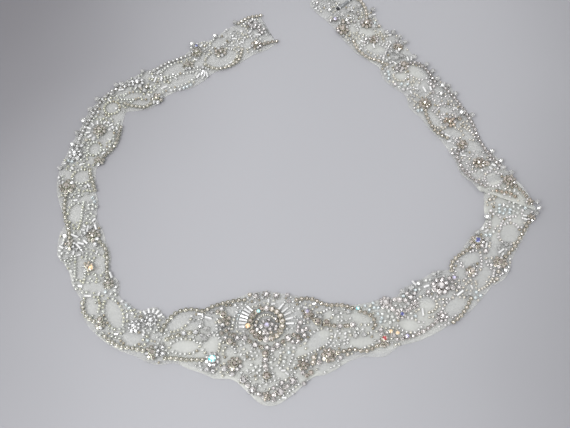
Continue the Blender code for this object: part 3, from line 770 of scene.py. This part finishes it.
def principled(name, **sockets):
    """A new material with constants on the shader's own sockets."""
    material = bpy.data.materials.new(name)
    material.use_nodes = True
    feed(shader_of(material), {socket.replace("_", " "): value for socket, value in sockets.items()})
    return material


def tinted(material, shade, noise_scale, rough, bump=0.0, glow=False):
    """Colours a material by its pieces' tints, with fine uneven shade, gloss and surface, and with glow a
    painted glow in the tint's colour.
    """
    make = node_maker(material.node_tree)
    shader = shader_of(material)
    grain = cloudy(make, make("ShaderNodeTexCoord").outputs["Object"], noise_scale, 3.0)
    tint = make("ShaderNodeAttribute", attribute_name="tint").outputs["Color"]
    mix = make("ShaderNodeMix", {0: 1.0, 6: tint, 7: spread(make, grain, *shade)}, data_type="RGBA",
               blend_type="MULTIPLY")
    feed(shader, {"Base Color": mix.outputs[2], "Roughness": spread(make, grain, *rough)})
    if glow:
        feed(shader, {"Emission Color": mix.outputs[2]})
    if bump:
        feed(shader, {"Normal": relief(make, grain, bump, 0.1)})
    return material


def net_material():
    """Fine net: white threads round open cells, with a thin haze that thickens at white margins."""
    material = principled("white_net", Roughness=0.85, Specular_IOR_Level=0.2)
    make = node_maker(material.node_tree)
    spot = make("ShaderNodeTexCoord").outputs["Object"]
    cells = make("ShaderNodeTexVoronoi", {"Vector": spot, "Scale": 1 / (NET_CELL * MM), "Randomness": 0.2},
                 feature="DISTANCE_TO_EDGE")
    thread = spread(make, cells.outputs["Distance"], 0.5, 0.0, 0.06, 0.14)
    cloud = cloudy(make, spot, 60.0, 4.0)
    edge = make("ShaderNodeAttribute", attribute_name="edge").outputs["Fac"]
    haze = joined(make, "ADD", spread(make, cloud, 0.04, 0.15, 0.35, 0.65),
                  joined(make, "MULTIPLY", edge, 0.34))
    feed(shader_of(material), {
        "Alpha": joined(make, "MAXIMUM", thread, haze),
        "Base Color": ramp(make, cloud, (0.0, (0.78, 0.79, 0.74)), (1.0, (0.90, 0.91, 0.88))),
        "Normal": relief(make, thread, 0.5, 0.15),
    })
    return material


def glossy(name, metallic, coat, coat_roughness, ior=1.52, **sockets):
    """A glassy material under a clear coat."""
    return principled(name, Metallic=metallic, Coat_Weight=coat, Coat_Roughness=coat_roughness, IOR=ior,
                      **sockets)


MATERIALS = {
    "stone": tinted(glossy("cut_stone", 0.7, 1.0, 0.02, 1.6), (0.85, 1.0), 900.0, (0.03, 0.09)),
    # The flashing stones glow with their tint: a painted flash of light, though they are no lamp.
    "flash": tinted(principled("painted_glow_stone", Metallic=0.6, Emission_Strength=0.5), (0.9, 1.0), 900.0,
                    (0.03, 0.09), glow=True),
    "metal": tinted(principled("setting_metal", Metallic=1.0), (0.6, 1.0), 1400.0, (0.2, 0.42), 0.4),
    "silver": tinted(glossy("silvered_bead", 0.8, 0.5, 0.03), (0.85, 1.0), 700.0, (0.08, 0.22)),
    "bead": tinted(glossy("seed_glass", 0.2, 1.0, 0.04, Transmission_Weight=0.1), (0.85, 1.0), 700.0,
                   (0.05, 0.2)),
    "lining": tinted(principled("silver_lining", Metallic=1.0), (0.7, 1.0), 900.0, (0.12, 0.3)),
    "glass": tinted(glossy("clear_glass", 0.25, 0.5, 0.02, 1.55, Transmission_Weight=0.7), (0.95, 1.0),
                    500.0, (0.0, 0.04)),
    "tube": tinted(glossy("bugle_glass", 0.35, 0.8, 0.03), (0.88, 1.0), 600.0, (0.05, 0.14)),
    "thread": tinted(principled("white_thread", Roughness=0.8), (0.85, 1.0), 2500.0, (0.6, 0.9), 0.6),
    "bar": tinted(principled("bar_metal", Metallic=1.0), (0.7, 1.0), 500.0, (0.25, 0.45), 0.3),
}
NET = net_material()


# Building pieces

def placed(name, data):
    """A new object in the scene."""
    thing = bpy.data.objects.new(name, data)
    bpy.context.scene.collection.objects.link(thing)
    return thing


class Pile:
    """Many small shapes gathered into one piece."""

    def __init__(self):
        self.items = []

    def add(self, shape, place, height, axes, size, tints):
        """Adds a shape with one size or three, and with one colour or a maker of colours."""
        offset = np.array((place[0], place[1], height), float)
        self.items.append((SHAPES[shape], np.asarray(axes) * size, offset, tints))

    def build(self, name):
        kinds = sorted({kind for shape, _, _, _ in self.items for kind in shape.kinds})
        verts, faces, looks, smooth, colours = [], [], [], [], []
        base = 0
        middle = np.array((*SHEET_MIDDLE, 0.0))
        for shape, axes, offset, tints in self.items:
            verts.append(((np.array(shape.verts) @ axes.T + offset) - middle) * MM)
            faces.extend(tuple(corner + base for corner in face) for face in shape.faces)
            looks.extend(kinds.index(kind) for kind in shape.kinds)
            smooth.extend(shape.smooth)
            for kind in shape.kinds:
                colours.extend((*(tints(kind) if callable(tints) else tints), 1.0))
            base += len(shape.verts)
        mesh = bpy.data.meshes.new(name)
        mesh.from_pydata(np.concatenate(verts).tolist(), [], faces)
        mesh.polygons.foreach_set("material_index", looks)
        mesh.polygons.foreach_set("use_smooth", smooth)
        mesh.attributes.new("tint", "FLOAT_COLOR", "FACE").data.foreach_set("color", colours)
        for kind in kinds:
            mesh.materials.append(MATERIALS[kind])
        piece = placed(name, mesh)
        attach(piece, "root")
        return piece


class Ground:
    """Remembers the round patches already taken, so that no bead is put inside another.

    The patches are kept by the square cells that they touch, CELL millimetres wide.
    """

    CELL = 4.0

    def __init__(self):
        self.cells = {}

    def near(self, x, y, radius):
        columns, rows = (range(int((value - radius) // self.CELL), int((value + radius) // self.CELL) + 1)
                         for value in (x, y))
        return [(column, row) for column in columns for row in rows]

    def clear(self, x, y, radius):
        for cell in self.near(x, y, radius):
            for other_x, other_y, other in self.cells.get(cell, ()):
                reach = radius + other
                if (x - other_x) ** 2 + (y - other_y) ** 2 < reach * reach:
                    return False
        return True

    def take(self, x, y, radius):
        for cell in self.near(x, y, radius):
            self.cells.setdefault(cell, []).append((x, y, radius))


GROUND = Ground()
RIMS = Ground()


def free(x, y, radius):
    """Whether a round patch touches neither a bead nor a rim that stays bare."""
    return GROUND.clear(x, y, radius) and RIMS.clear(x, y, radius)


def inside(patches, x, y):
    """Whether a place lies in one of a table's turned ovals."""
    for middle_x, middle_y, half_long, half_wide, turn in patches:
        angle = math.radians(turn)
        along = (x - middle_x) * math.cos(angle) + (y - middle_y) * math.sin(angle)
        aside = (y - middle_y) * math.cos(angle) - (x - middle_x) * math.sin(angle)
        if (along / half_long) ** 2 + (aside / half_wide) ** 2 < 1:
            return True
    return False


def on_arm(x):
    """0 at the centre motif, rising to 1 on the arms to its left and right."""
    return ease(abs(x - MEDALLION[0]), 0, ARM_START)


def facets(tone, x):
    """Gives each facet of a stone its own colour out of a tone, which paints the stone's reflections and
    glints, and metal its own shade.

    Stones and metal look olive at the left of the sash and rosier from its middle to the right.
    The metal is brighter on the arms than on the centre motif.
    """
    grey = METAL_SHADES.get(tone, METAL_SHADE) * DRAWS.uniform(0.75, 1.0) * (1.0 + ARM_SHINE * on_arm(x))
    metal = (grey, grey, grey * (0.98 if tone in COOL_TONES else 0.84))
    rosy = 0.0 if tone in FLASH_TONES else ease(x, -70, -10)
    blush = (1.0, 1.0 - 0.05 * rosy, 1.0 - 0.06 * rosy)
    facet = 0

    def pick(kind):
        nonlocal facet
        if kind == "metal":
            colour = metal
        else:
            facet += 1
            colour = STONE_TONES_AND_PAINTED_GLINTS[tone][0 if facet == 1 else min(int(DRAWS.random() * 4), 3)]
        return tuple(part * share for part, share in zip(colour, blush))

    return pick


def set_stone(pile, place, height, radius, tone, claws=True, toward=0.0, tilt=0.0, stretch=1.0, rim=1.0):
    """A stone in its cup, its girdle at a height above the net and tipped a little by chance."""
    turn = DRAWS.uniform(0, math.tau)
    tip = axes_upright(0.0, DRAWS.gauss(0.0, STONE_TIP), DRAWS.uniform(0, math.tau))
    axes = tip @ axes_upright(toward if stretch != 1.0 else turn, tilt, toward)
    cup_size = (radius * stretch * rim, radius * rim, min(height * 0.9, radius * 1.1))
    tints = facets(tone, place[0])
    high = top_at(place) + height
    pile.add("claw_cup" if claws else "cup", place, high, axes, cup_size, tints)
    shape = "flash" if tone in FLASH_TONES else "stone" if radius > SMALL_STONE else "small_stone"
    pile.add(shape, place, high, axes, (radius * stretch, radius, radius), tints)


def seed_tint(x, y, milky=False):
    """A seed bead's colour: pale, more olive to the left and rosier to the right, a few dark."""
    drift = noise.noise(Vector((x * 0.06, y * 0.06, 3.0)))
    chance = DRAWS.random()
    glow = DRAWS.uniform(0.82, 1.0)
    shares = (glow, glow, glow)
    if milky:
        base = (0.84, 0.92, 0.94) if drift > 0 else (0.93, 0.94, 0.91)
    elif chance < DARK_SEEDS:
        base = (0.30, 0.27, 0.21)
        shares = (1.0 + 0.6 * on_arm(x),) * 3
    else:
        base = (0.90, 0.88, 0.78) if chance < 0.3 or drift > 0.18 else (0.98, 0.98, 0.97)
        olive, rosy = ease(-x, 40, 120), ease(x, 60, 120)
        shares = (glow * (1 - 0.08 * olive), glow * (1 - 0.06 * olive - 0.03 * rosy),
                  glow * (1 - 0.12 * olive - 0.02 * rosy))
    return tuple(part * share for part, share in zip(base, shares))


def seed(pile, x, y, height, radius=SEED_RADIUS, heading=None, milky=False):
    heading = DRAWS.uniform(0, math.tau) if heading is None else heading
    axes = axes_lying(heading, DRAWS.uniform(0, 1), DRAWS.uniform(-0.25, 0.25))
    shape = "seed" if milky or DRAWS.random() < PLAIN_SEEDS else "silver_seed"
    pile.add(shape, (x, y), height + radius * 0.9, axes, radius, seed_tint(x, y, milky))


def crystal(pile, x, y, height, radius):
    axes = axes_lying(DRAWS.uniform(0, math.tau), DRAWS.uniform(0, 1), DRAWS.uniform(-0.3, 0.3))
    shade = DRAWS.uniform(0.72, 0.92)
    pile.add("crystal", (x, y), height + radius * 0.95, axes, radius, (shade, shade, shade * 0.99))


def bugle(pile, x, y, height, heading, length, radius=BUGLE_RADIUS):
    shade = DRAWS.uniform(0.9, 1.0)
    axes = axes_lying(heading, DRAWS.uniform(0, 1), DRAWS.uniform(-0.03, 0.03))
    pile.add("bugle", (x, y), height + radius, axes, (radius, radius, length / 2), (shade,) * 3)


# Stone lines and flowers, with the parts of a flower as shares of its height or its radius

HEART_HIGH = 0.72
PETAL_HIGH = 0.42
PETAL_REACH = 0.72
PETAL_RADIUS = 0.235
HALO_REACH = 0.94


def flower_high(radius):
    """A flower's height, which rises with its radius."""
    return CHAIN_HIGH + FLOWER_RISE * (radius - 1.7)


def blossom(pile, x, y, radius, tone):
    """A flower: a large stone high in the middle and smaller stones tipped outward round it."""
    high = flower_high(radius)
    GROUND.take(x, y, radius)
    set_stone(pile, (x, y), high * HEART_HIGH, radius * 0.40, tone)
    petals = 8 if radius > 4.5 else 7 if radius > 3.6 else 6
    turn = DRAWS.uniform(0, math.tau)
    for petal in range(petals):
        angle = turn + math.tau * petal / petals
        spot = around(x, y, radius * PETAL_REACH, angle)
        own = tone if DRAWS.random() < 0.7 else "clear"
        set_stone(pile, spot, high * PETAL_HIGH, radius * PETAL_RADIUS, own, claws=False, toward=angle,
                  tilt=0.32, stretch=1.15)


def solitaire(pile, x, y, radius, tone):
    """One stone in claws with a halo of small beads."""
    GROUND.take(x, y, radius)
    set_stone(pile, (x, y), CHAIN_HIGH * 0.75, radius * 0.66, tone)
    for bead in range(HALO_BEADS):
        angle = math.tau * bead / HALO_BEADS
        spot = around(x, y, radius * HALO_REACH, angle)
        seed(pile, *spot, top_at(spot), radius=radius * 0.22, heading=angle + math.pi / 2)


def keep_rim_bare(spot, aside):
    """Keeps the net bare between an edge line and the nearby edge of the band."""
    for side in (-1, 1):
        if not on_band(spot + aside * side * RIM_REACH, 0) and on_band(spot - aside * side * RIM_REACH, 0):
            for reach in (2.4, 4.6):
                RIMS.take(*(spot + aside * side * reach), 1.6)


def stone_line(name, points):
    """A line of set stones with its flowers, in place of the plain line."""
    pile = Pile()
    track = Track(points)
    tone = LINE_TONES.get(name, "champagne")
    for run, radius in track.knots:
        spot, _ = track.at(run)
        knot_tone = KNOT_TONES.get(name, "smoke" if radius > LEAST_BLOSSOM else "clear")
        maker = blossom if radius >= LEAST_BLOSSOM else solitaire
        maker(pile, spot.x, spot.y, radius, knot_tone)
    for start, end in track.stretches(CHAIN_RADIUS * 1.05):
        count = max(1, round((end - start) / LINE_PITCHES.get(name, CHAIN_PITCH)))
        for index in range(count + 1):
            spot, ahead = track.at(start + (end - start) * index / count)
            GROUND.take(spot.x, spot.y, CHAIN_RADIUS * 1.1)
            keep_rim_bare(spot, Vector((-ahead.y, ahead.x)))
            set_stone(pile, spot, CHAIN_HIGH * 0.62, CHAIN_RADIUS / CHAIN_RIM, tone, rim=CHAIN_RIM)
            if index < count:
                link, ahead = track.at(start + (end - start) * (index + 0.5) / count)
                pile.add("seed", link, top_at(link) + 0.9, axes_lying(math.atan2(ahead.y, ahead.x), 0),
                         0.62, (0.42, 0.38, 0.32))
    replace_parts(pile.build(name + "_stones"), name)


def lone_flower(name, x, y, radius):
    pile = Pile()
    blossom(pile, x, y, radius, FLOWER_TONES.get(name, "smoke"))
    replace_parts(pile.build(name + "_stones"), name)


# Centre medallion

def medallion_ring(centre):
    """The ring of large set stones, dark on its left side."""
    ring = Pile()
    for index in range(RING_STONES):
        angle = math.tau * (index + 0.5) / RING_STONES
        side = math.cos(angle)
        tone = "smoke" if side < -0.3 else "champagne" if side > 0.2 else "pale"
        spot = centre + polar(angle) * RING_RADIUS
        set_stone(ring, spot, RING_HIGH * 0.66, 1.7, tone, toward=angle, tilt=0.12, stretch=1.12)
    GROUND.take(*centre, RING_RADIUS + 2)
    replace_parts(ring.build("medallion_ring_stones"), "medallion_ring")


def medallion_heart(centre):
    """The cluster inside the ring: a lilac stone, six petals, small stones and seed beads."""
    heart = Pile()
    high = flower_high(HEART_RADIUS)
    middle = centre + Vector((0.4, -1.2))
    set_stone(heart, middle, high * HEART_HIGH, 1.9, "lilac")

    def strewn(start, angle, reach, drift):
        """A place at a distance and an angle from another, moved a little by chance."""
        spot = start + polar(angle) * reach
        spot += Vector((DRAWS.uniform(-drift, drift), DRAWS.uniform(-drift, drift)))
        return spot

    for petal in range(6):
        angle = math.tau * petal / 6 + 0.2
        tone = "clear" if petal % 3 else "pale"
        set_stone(heart, strewn(middle, angle, 3.7, 0.4), high * 0.5, 1.25, tone, toward=angle, tilt=0.3)
    for bead, angle in enumerate(angles(165, 395, 11)):
        tone = "champagne" if bead % 3 == 0 else "pale"
        set_stone(heart, strewn(centre, angle, 7.2, 0.5), high * 0.34, 1.1, tone, claws=False,
                  toward=angle, tilt=0.3)
    for angle in angles(40, 150, 9):
        seed(heart, *(centre + polar(angle) * 6.6), NET_THICK + 0.5, radius=0.95,
             heading=angle + math.pi / 2)
    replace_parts(heart.build("medallion_heart_stones"), "medallion_heart")


def bugle_fan(name, centre, first, last, count):
    """Long bugles that stand out from the ring, with a bead at the end of each."""
    fan = Pile()
    for angle in angles(first, last, count):
        out = polar(angle)
        spot = centre + out * (FAN_INNER + FAN_OUTER) / 2
        bugle(fan, *spot, NET_THICK + BEAD_GAP, angle, FAN_OUTER - FAN_INNER)
        seed(fan, *(centre + out * FAN_TIP), NET_THICK, radius=0.9, heading=angle, milky=True)
        for reach in (FAN_INNER + 0.5, FAN_INNER + 2.8, FAN_OUTER - 0.6, FAN_TIP):
            GROUND.take(*(centre + out * reach), 1.0)
    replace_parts(fan.build(name + "_beads"), name)


# Stones and beads that only the looks have

def flash_stones():
    pile = Pile()
    for x, y, radius, tone in FLASHES:
        set_stone(pile, (x, y), 2.6 if GROUND.clear(x, y, radius) else 3.4, radius, tone)
        GROUND.take(x, y, radius)
    pile.build("flash_stones")


def strewn_stones():
    """Set stones strewn along short bands."""
    pile = Pile()
    for half, pitch, tone, points in STONE_BANDS:
        track = Track(points)
        for _ in range(int(track.length * half * STREWN_TRIES / pitch)):
            spot, ahead = track.at(DRAWS.uniform(0, track.length))
            spot = spot + Vector((-ahead.y, ahead.x)) * DRAWS.uniform(-half, half)
            radius = DRAWS.uniform(*STREWN_RADII)
            if on_band(spot, 1.2) and free(*spot, radius):
                GROUND.take(*spot, radius)
                own = tone if DRAWS.random() < 0.6 else "clear"
                set_stone(pile, spot, STREWN_HIGH, radius, own, claws=radius > 1.4)
    pile.build("strewn_stones")


def white_beads():
    """Bright white beads wherever a stone has left their place clear."""
    pile = Pile()
    for spot in PEARLS:
        if GROUND.clear(*spot, 1.2):
            GROUND.take(*spot, PEARL_RADIUS)
            axes = axes_lying(DRAWS.uniform(0, math.tau), 0.0)
            pile.add("seed", spot, top_at(spot) + 1.2, axes, PEARL_RADIUS, (0.98, 0.98, 0.98))
    pile.build("white_beads")


def beside(x, y, radius, offsets=((0.0, 0.0),)):
    """The nearest place on the band where a bead's round patches lie clear of its neighbours."""
    for reach in NUDGES:
        for step in range(NUDGE_WAYS if reach else 1):
            place = around(x, y, reach, math.tau * step / NUDGE_WAYS)
            patches = [(place[0] + offset[0], place[1] + offset[1]) for offset in offsets]
            if all(on_band(patch, -0.8) and GROUND.clear(*patch, radius) for patch in patches):
                return place, patches
    return None, ()


def round_crystals():
    pile = Pile()
    for x, y, radius in CRYSTALS:
        place, _ = beside(x, y, radius * 0.8)
        if place:
            crystal(pile, *place, top_at(place), radius * 1.08)
            GROUND.take(*place, radius)
    pile.build("round_crystals")


def loose_bugles():
    """Single bugles and small sprays of them, each spray's bugle with a crystal at its tip."""
    pile = Pile()
    for x, y, turn, length in BUGLES:
        heading = math.radians(turn)
        offsets = [(share * length * math.cos(heading), share * length * math.sin(heading))
                   for share in (-0.4, 0.0, 0.4)]
        place, patches = beside(x, y, 0.7, offsets)
        if place:
            bugle(pile, *place, top_at(place) + 0.4, heading, length)
        for patch in patches:
            GROUND.take(*patch, 0.9)
    for x, y, inner, outer, first, last, count in SPRAYS:
        for angle in angles(first, last, count):
            out = polar(angle)
            middle, tip = Vector((x, y)) + out * (inner + outer) / 2, Vector((x, y)) + out * (outer + 1.2)
            if not on_band(middle, 0.8) or not GROUND.clear(*middle, 0.9):
                continue
            bugle(pile, *middle, top_at(middle) + 1.0, angle, outer - inner)
            for share in (-0.35, 0.0, 0.35):
                GROUND.take(*(middle + out * share * (outer - inner)), 0.9)
            if on_band(tip, 0.5) and GROUND.clear(*tip, 0.9):
                GROUND.take(*tip, 1.0)
                crystal(pile, *tip, top_at(tip) + 0.6, radius=1.15)
    pile.build("loose_bugles")


def bead_rows():
    """Rows of seed beads along the scrolls and round each bare window."""
    pile = Pile()
    for points in ROWS:
        track = Track(points)
        for step in range(int(track.length / SEED_PITCH) + 1):
            spot, ahead = track.at(step * SEED_PITCH)
            if free(*spot, SEED_RADIUS * 0.8):
                GROUND.take(*spot, SEED_RADIUS)
                seed(pile, *spot, top_at(spot), heading=math.atan2(ahead.y, ahead.x))
    for x, y, half_long, half_wide, turn in WINDOWS:
        count = int(math.pi * (half_long + half_wide + 2 * WINDOW_RIM) / SEED_PITCH)
        lean = math.radians(turn)
        for step in range(count):
            angle = math.tau * step / count
            along = (half_long + WINDOW_RIM) * math.cos(angle)
            aside = (half_wide + WINDOW_RIM) * math.sin(angle)
            spot = (x + along * math.cos(lean) - aside * math.sin(lean),
                    y + along * math.sin(lean) + aside * math.cos(lean))
            if on_band(spot) and free(*spot, SEED_RADIUS * 0.85):
                GROUND.take(*spot, SEED_RADIUS)
                seed(pile, *spot, top_at(spot), heading=angle + lean + math.pi / 2)
    pile.build("scroll_beads")


def fill(name, sections, height, hidden=None, tries=FILL_TRIES):
    """Fills a stretch of the band with small beads and stones, leaving the windows bare."""
    pile = Pile()
    for near, far in zip(sections, sections[1:]):
        step = far.run - near.run
        wide = near.outer + near.inner - 2 * MARGIN
        for _ in range(int(step * wide * tries) + 1):
            share = DRAWS.random()
            offset = -near.inner + MARGIN + wide * DRAWS.random()
            spot = near.point(offset).lerp(far.point(offset), share)
            x, y = spot
            kind = DRAWS.random()
            milky = inside(MILKY, x, y)
            radius = 1.35 if milky else 1.5 if kind < SMALL_STONES else SEED_RADIUS
            if hidden and hidden(spot) or inside(WINDOWS, x, y) or not free(x, y, radius):
                continue
            if noise.noise(Vector((x * 0.11, y * 0.11, 9.0))) > BARE_ABOVE and not milky:
                continue
            GROUND.take(x, y, radius)
            base = NET_THICK + height(near.run)
            if milky:
                seed(pile, x, y, base, radius=radius, milky=DRAWS.random() < 0.85)
            elif kind < SMALL_STONES:
                tone = "clear" if kind < CLEAR_STONES else "champagne"
                set_stone(pile, spot, height=1.2, radius=1.3, tone=tone, claws=False)
            elif kind < SMALL_CRYSTALS:
                crystal(pile, x, y, base, radius=1.1)
            elif kind < SHORT_BUGLES:
                bugle(pile, x, y, base, DRAWS.uniform(0, math.pi), length=3.0, radius=0.7)
            else:
                seed(pile, x, y, base + DRAWS.uniform(0, 0.5), SEED_RADIUS * DRAWS.uniform(0.72, 1.08))
    pile.build(name)


# Net

def net_piece(name, node, rings, edges):
    """A closed sheet of net through rings of equal count, with each corner's edge value."""
    count = len(rings[0])
    faces = [
        (ring + side, ring + count + side, ring + count + (side + 1) % count, ring + (side + 1) % count)
        for ring in range(0, (len(rings) - 1) * count, count) for side in range(count)
    ]
    faces.append(tuple(range(count)))
    faces.append(tuple(reversed(range((len(rings) - 1) * count, len(rings) * count))))
    mesh = bpy.data.meshes.new(name)
    mesh.from_pydata([Vector(((x - SHEET_MIDDLE[0]) * MM, (y - SHEET_MIDDLE[1]) * MM, height * MM))
                      for ring in rings for x, y, height in ring], [], faces)
    mesh.attributes.new("edge", "FLOAT", "POINT").data.foreach_set("value", edges)
    mesh.shade_smooth()
    mesh.materials.append(NET)
    piece = placed(name, mesh)
    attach(piece, "root")
    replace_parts(piece, node)
    return piece


def net_shell(name, node, sections, height, notch=0.0):
    """A thin closed sheet of net through the band's sections, its edges a little raised and uneven."""
    rings, edges = [], []
    for index, section in enumerate(sections):
        upper_side, lower_side = [], []
        base = height(section.run)
        for share in ACROSS_SHARES:
            width = section.outer if share > 0 else section.inner
            fray = NET_FRAY * noise.noise(Vector((section.run * 0.9, share * 3.0, 7.0))) * abs(share) ** 6
            spot = section.point(width * share + fray * math.copysign(1.0, share))
            if index == 0:
                spot = spot + section.heading * notch * (1 - abs(share))
            closeness = max(0.0, 1 - width * (1 - abs(share)) / NET_EDGE_BAND)
            wave = 0.5 + 0.5 * noise.noise(Vector((spot.x * 0.09, spot.y * 0.09, 1.0)))
            rise = NET_EDGE_RISE * closeness * wave
            crease = 0.1 * noise.noise(Vector((spot.x * 0.25, spot.y * 0.25, 5.0)))
            thin = (NET_HIGH - NET_LOW - NET_RIM_THICK) * closeness
            upper_side.append((*spot, base + NET_HIGH - thin + rise + crease))
            lower_side.append((*spot, base + NET_LOW + rise))
            veil = VEIL if inside(VEILS, *spot) else 0.0
            edges.append(veil + closeness * (1.0 if inside(WHITE_MARGINS, *spot) else -0.6))
        edges.extend(reversed(edges[-len(ACROSS_SHARES):]))
        rings.append(upper_side + lower_side[::-1])
    piece = net_piece(name, node, rings, edges)


def fold_layers():
    """The folded net under the upper run: stacked rounded layers that show at the fold."""
    low, high = NET_THICK + 0.1, FOLD_LIFT - 0.1
    steps = PAD_LAYERS * 4
    rings = []
    for section in UPPER:
        if section.run < 0.1 or section.run > PAD_END_RUN:
            continue
        top = min(high, lift(section.run) - 0.1)
        ring = []
        for side in (1, -1):
            width = (section.outer if side > 0 else section.inner) - PAD_SIDE
            wall = []
            for share in (step / steps for step in range(steps + 1)):
                bulge = abs(math.sin(math.pi * PAD_LAYERS * share))
                wall.append((*section.point(side * (width - 0.6 + 0.6 * bulge)), low + (top - low) * share))
            ring.extend(wall if side > 0 else reversed(wall))
        rings.append(ring)
    piece = net_piece("fold_layers_net", "fold_layers", rings, [0.8] * len(rings) * len(rings[0]))


# Closure bar

def closure_bar():
    """The metal bar near the band's end, with a dark cap at each end and thread round it."""
    start, end = Vector(BAR_ENDS[0]), Vector(BAR_ENDS[1])
    middle, whole = (start + end) / 2, end - start
    axes = axes_lying(math.atan2(whole.y, whole.x), 0.0)
    height = NET_THICK + BEAD_GAP + BAR_HIGH / 2
    pile = Pile()
    pile.add("bar", middle, height, axes, (BAR_HIGH / 2, BAR_WIDE / 2, whole.length / 2), (0.42, 0.44, 0.45))
    for share in (-0.96, 0.96):
        pile.add("bar", middle + whole * share / 2, height, axes, (BAR_HIGH * 0.56, BAR_WIDE * 0.56, 0.9),
                 (0.08, 0.08, 0.09))
    for share in (-0.72, 0.72):
        pile.add("wrap", middle + whole * share / 2, height - 0.1, axes,
                 (BAR_HIGH * 0.58, BAR_WIDE * 0.56, 0.9), (0.9, 0.9, 0.9))
    GROUND.take(*middle, 3)
    for share in (-0.9, -0.5, 0.5, 0.9):
        GROUND.take(*(middle + whole * share / 2), 2)
    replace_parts(pile.build("closure_bar_metal"), "closure_bar")


# Stage

def lay_floor():
    """A pale floor with a painted pool of light: its colour is brighter in an oval under the sash."""
    mesh = bpy.data.meshes.new("floor")
    mesh.from_pydata([(x * FLOOR_REACH, y * FLOOR_REACH, 0) for x, y in ((-1, -1), (1, -1), (1, 1), (-1, 1))],
                     [], [(0, 1, 2, 3)])
    floor = placed("floor", mesh)
    cloth = principled("pale_floor", Roughness=0.7, Specular_IOR_Level=0.25)
    make = node_maker(cloth.node_tree)
    spot = make("ShaderNodeTexCoord").outputs["Object"]
    oval = make("ShaderNodeMapping", {"Vector": spot, "Location": (0.033, 0.0, 0.0),
                                      "Rotation": (0.0, 0.0, math.radians(-15.6)), "Scale": (1.0, 4.0, 1.0)},
                vector_type="TEXTURE")
    pool = make("ShaderNodeVectorMath", {0: oval.outputs[0]}, operation="LENGTH").outputs["Value"]
    uneven = joined(make, "MULTIPLY", cloudy(make, spot, 4.0, 2.0), 0.10)
    # The floor's colour is a painted pool of light, pale in the middle of the oval and greyer away from it.
    shade = ramp(make, joined(make, "ADD", pool, uneven), *PAINTED_FLOOR_POOL_LIGHT, "EASE")
    feed(shader_of(cloth), {"Base Color": shade})
    mesh.materials.append(cloth)


def add_light(name, place, size, power):
    """A square lamp that shines at the middle of the sash."""
    lamp = bpy.data.lights.new(name, "AREA")
    lamp.shape = "SQUARE"
    lamp.size = size
    lamp.energy = power
    thing = placed(name, lamp)
    thing.location = place
    thing.rotation_euler = (-Vector(place)).to_track_quat("-Z", "Y").to_euler()


def add_lights():
    """A soft main light, and a ring of small bright ones that the stones catch."""
    add_light("key", (-0.55, -0.50, 0.95), size=0.50, power=6.5)
    for index in range(SPARKS):
        angle = math.radians(15 + 360 * index / SPARKS)
        away = 0.5 + 0.25 * (index % 3)
        place = (away * math.cos(angle), away * math.sin(angle) + 0.1, 0.75 + 0.18 * (index % 4))
        add_light(f"spark_{index}", place, size=0.04, power=0.10)


def add_room():
    """Surroundings with light and dark patches overhead, and an even grey lower down."""
    room = bpy.context.scene.world or bpy.data.worlds.new("room")
    bpy.context.scene.world = room
    room.use_nodes = True
    room.node_tree.nodes.clear()
    make = node_maker(room.node_tree)
    way = make("ShaderNodeTexCoord").outputs["Generated"]
    patches = ramp(make, cloudy(make, way, 2.6, 2.0), *ROOM_SHADES)
    above = spread(make, make("ShaderNodeSeparateXYZ", {0: way}).outputs["Z"], 0.0, 1.0, 0.38, 0.58)
    sky = make("ShaderNodeMix", {0: above, 6: (0.52, 0.52, 0.53, 1), 7: patches}, data_type="RGBA")
    background = make("ShaderNodeBackground", {"Color": sky.outputs[2], "Strength": 1.2})
    make("ShaderNodeOutputWorld", {"Surface": background.outputs[0]})


def add_camera():
    """The photo's view, tilted 28 degrees from straight down."""
    eye = bpy.data.cameras.new("camera")
    eye.sensor_width = 36.0
    eye.lens = 44.21
    camera = placed("camera", eye)
    camera.location = (-0.0066, -0.2842, 0.455)
    camera.rotation_euler = (math.radians(28), 0, 0)
    bpy.context.scene.camera = camera
    bpy.context.scene.view_settings.view_transform = "Standard"


lay_floor()
add_lights()
add_room()
add_camera()
net_shell("net_left_arm_sheet", "net_left_arm", LEFT_ARM, level, NOTCH_DEPTH)
net_shell("net_centre_sheet", "net_centre", CENTRE, level)
net_shell("net_right_arm_sheet", "net_right_arm", RIGHT_ARM, level)
net_shell("net_upper_arm_sheet", "net_upper_arm", UPPER, lift)
fold_layers()
for line_name, line_points in LINES.items():
    stone_line(line_name, line_points)
for flower_name, flower_row in FLOWERS.items():
    lone_flower(flower_name, *flower_row)
medallion_ring(Vector(MEDALLION))
medallion_heart(Vector(MEDALLION))
for fan_name, fan_row in BUGLE_FANS.items():
    bugle_fan(fan_name, Vector(MEDALLION), *fan_row)
closure_bar()
flash_stones()
round_crystals()
loose_bugles()
strewn_stones()
white_beads()
bead_rows()
fill("left_arm_beads", LEFT_ARM, level, in_notch)
fill("centre_beads", CENTRE, level)
fill("right_arm_beads", RIGHT_ARM, level, under_upper, UNDER_FOLD_TRIES)
fill("upper_arm_beads", UPPER, lift)
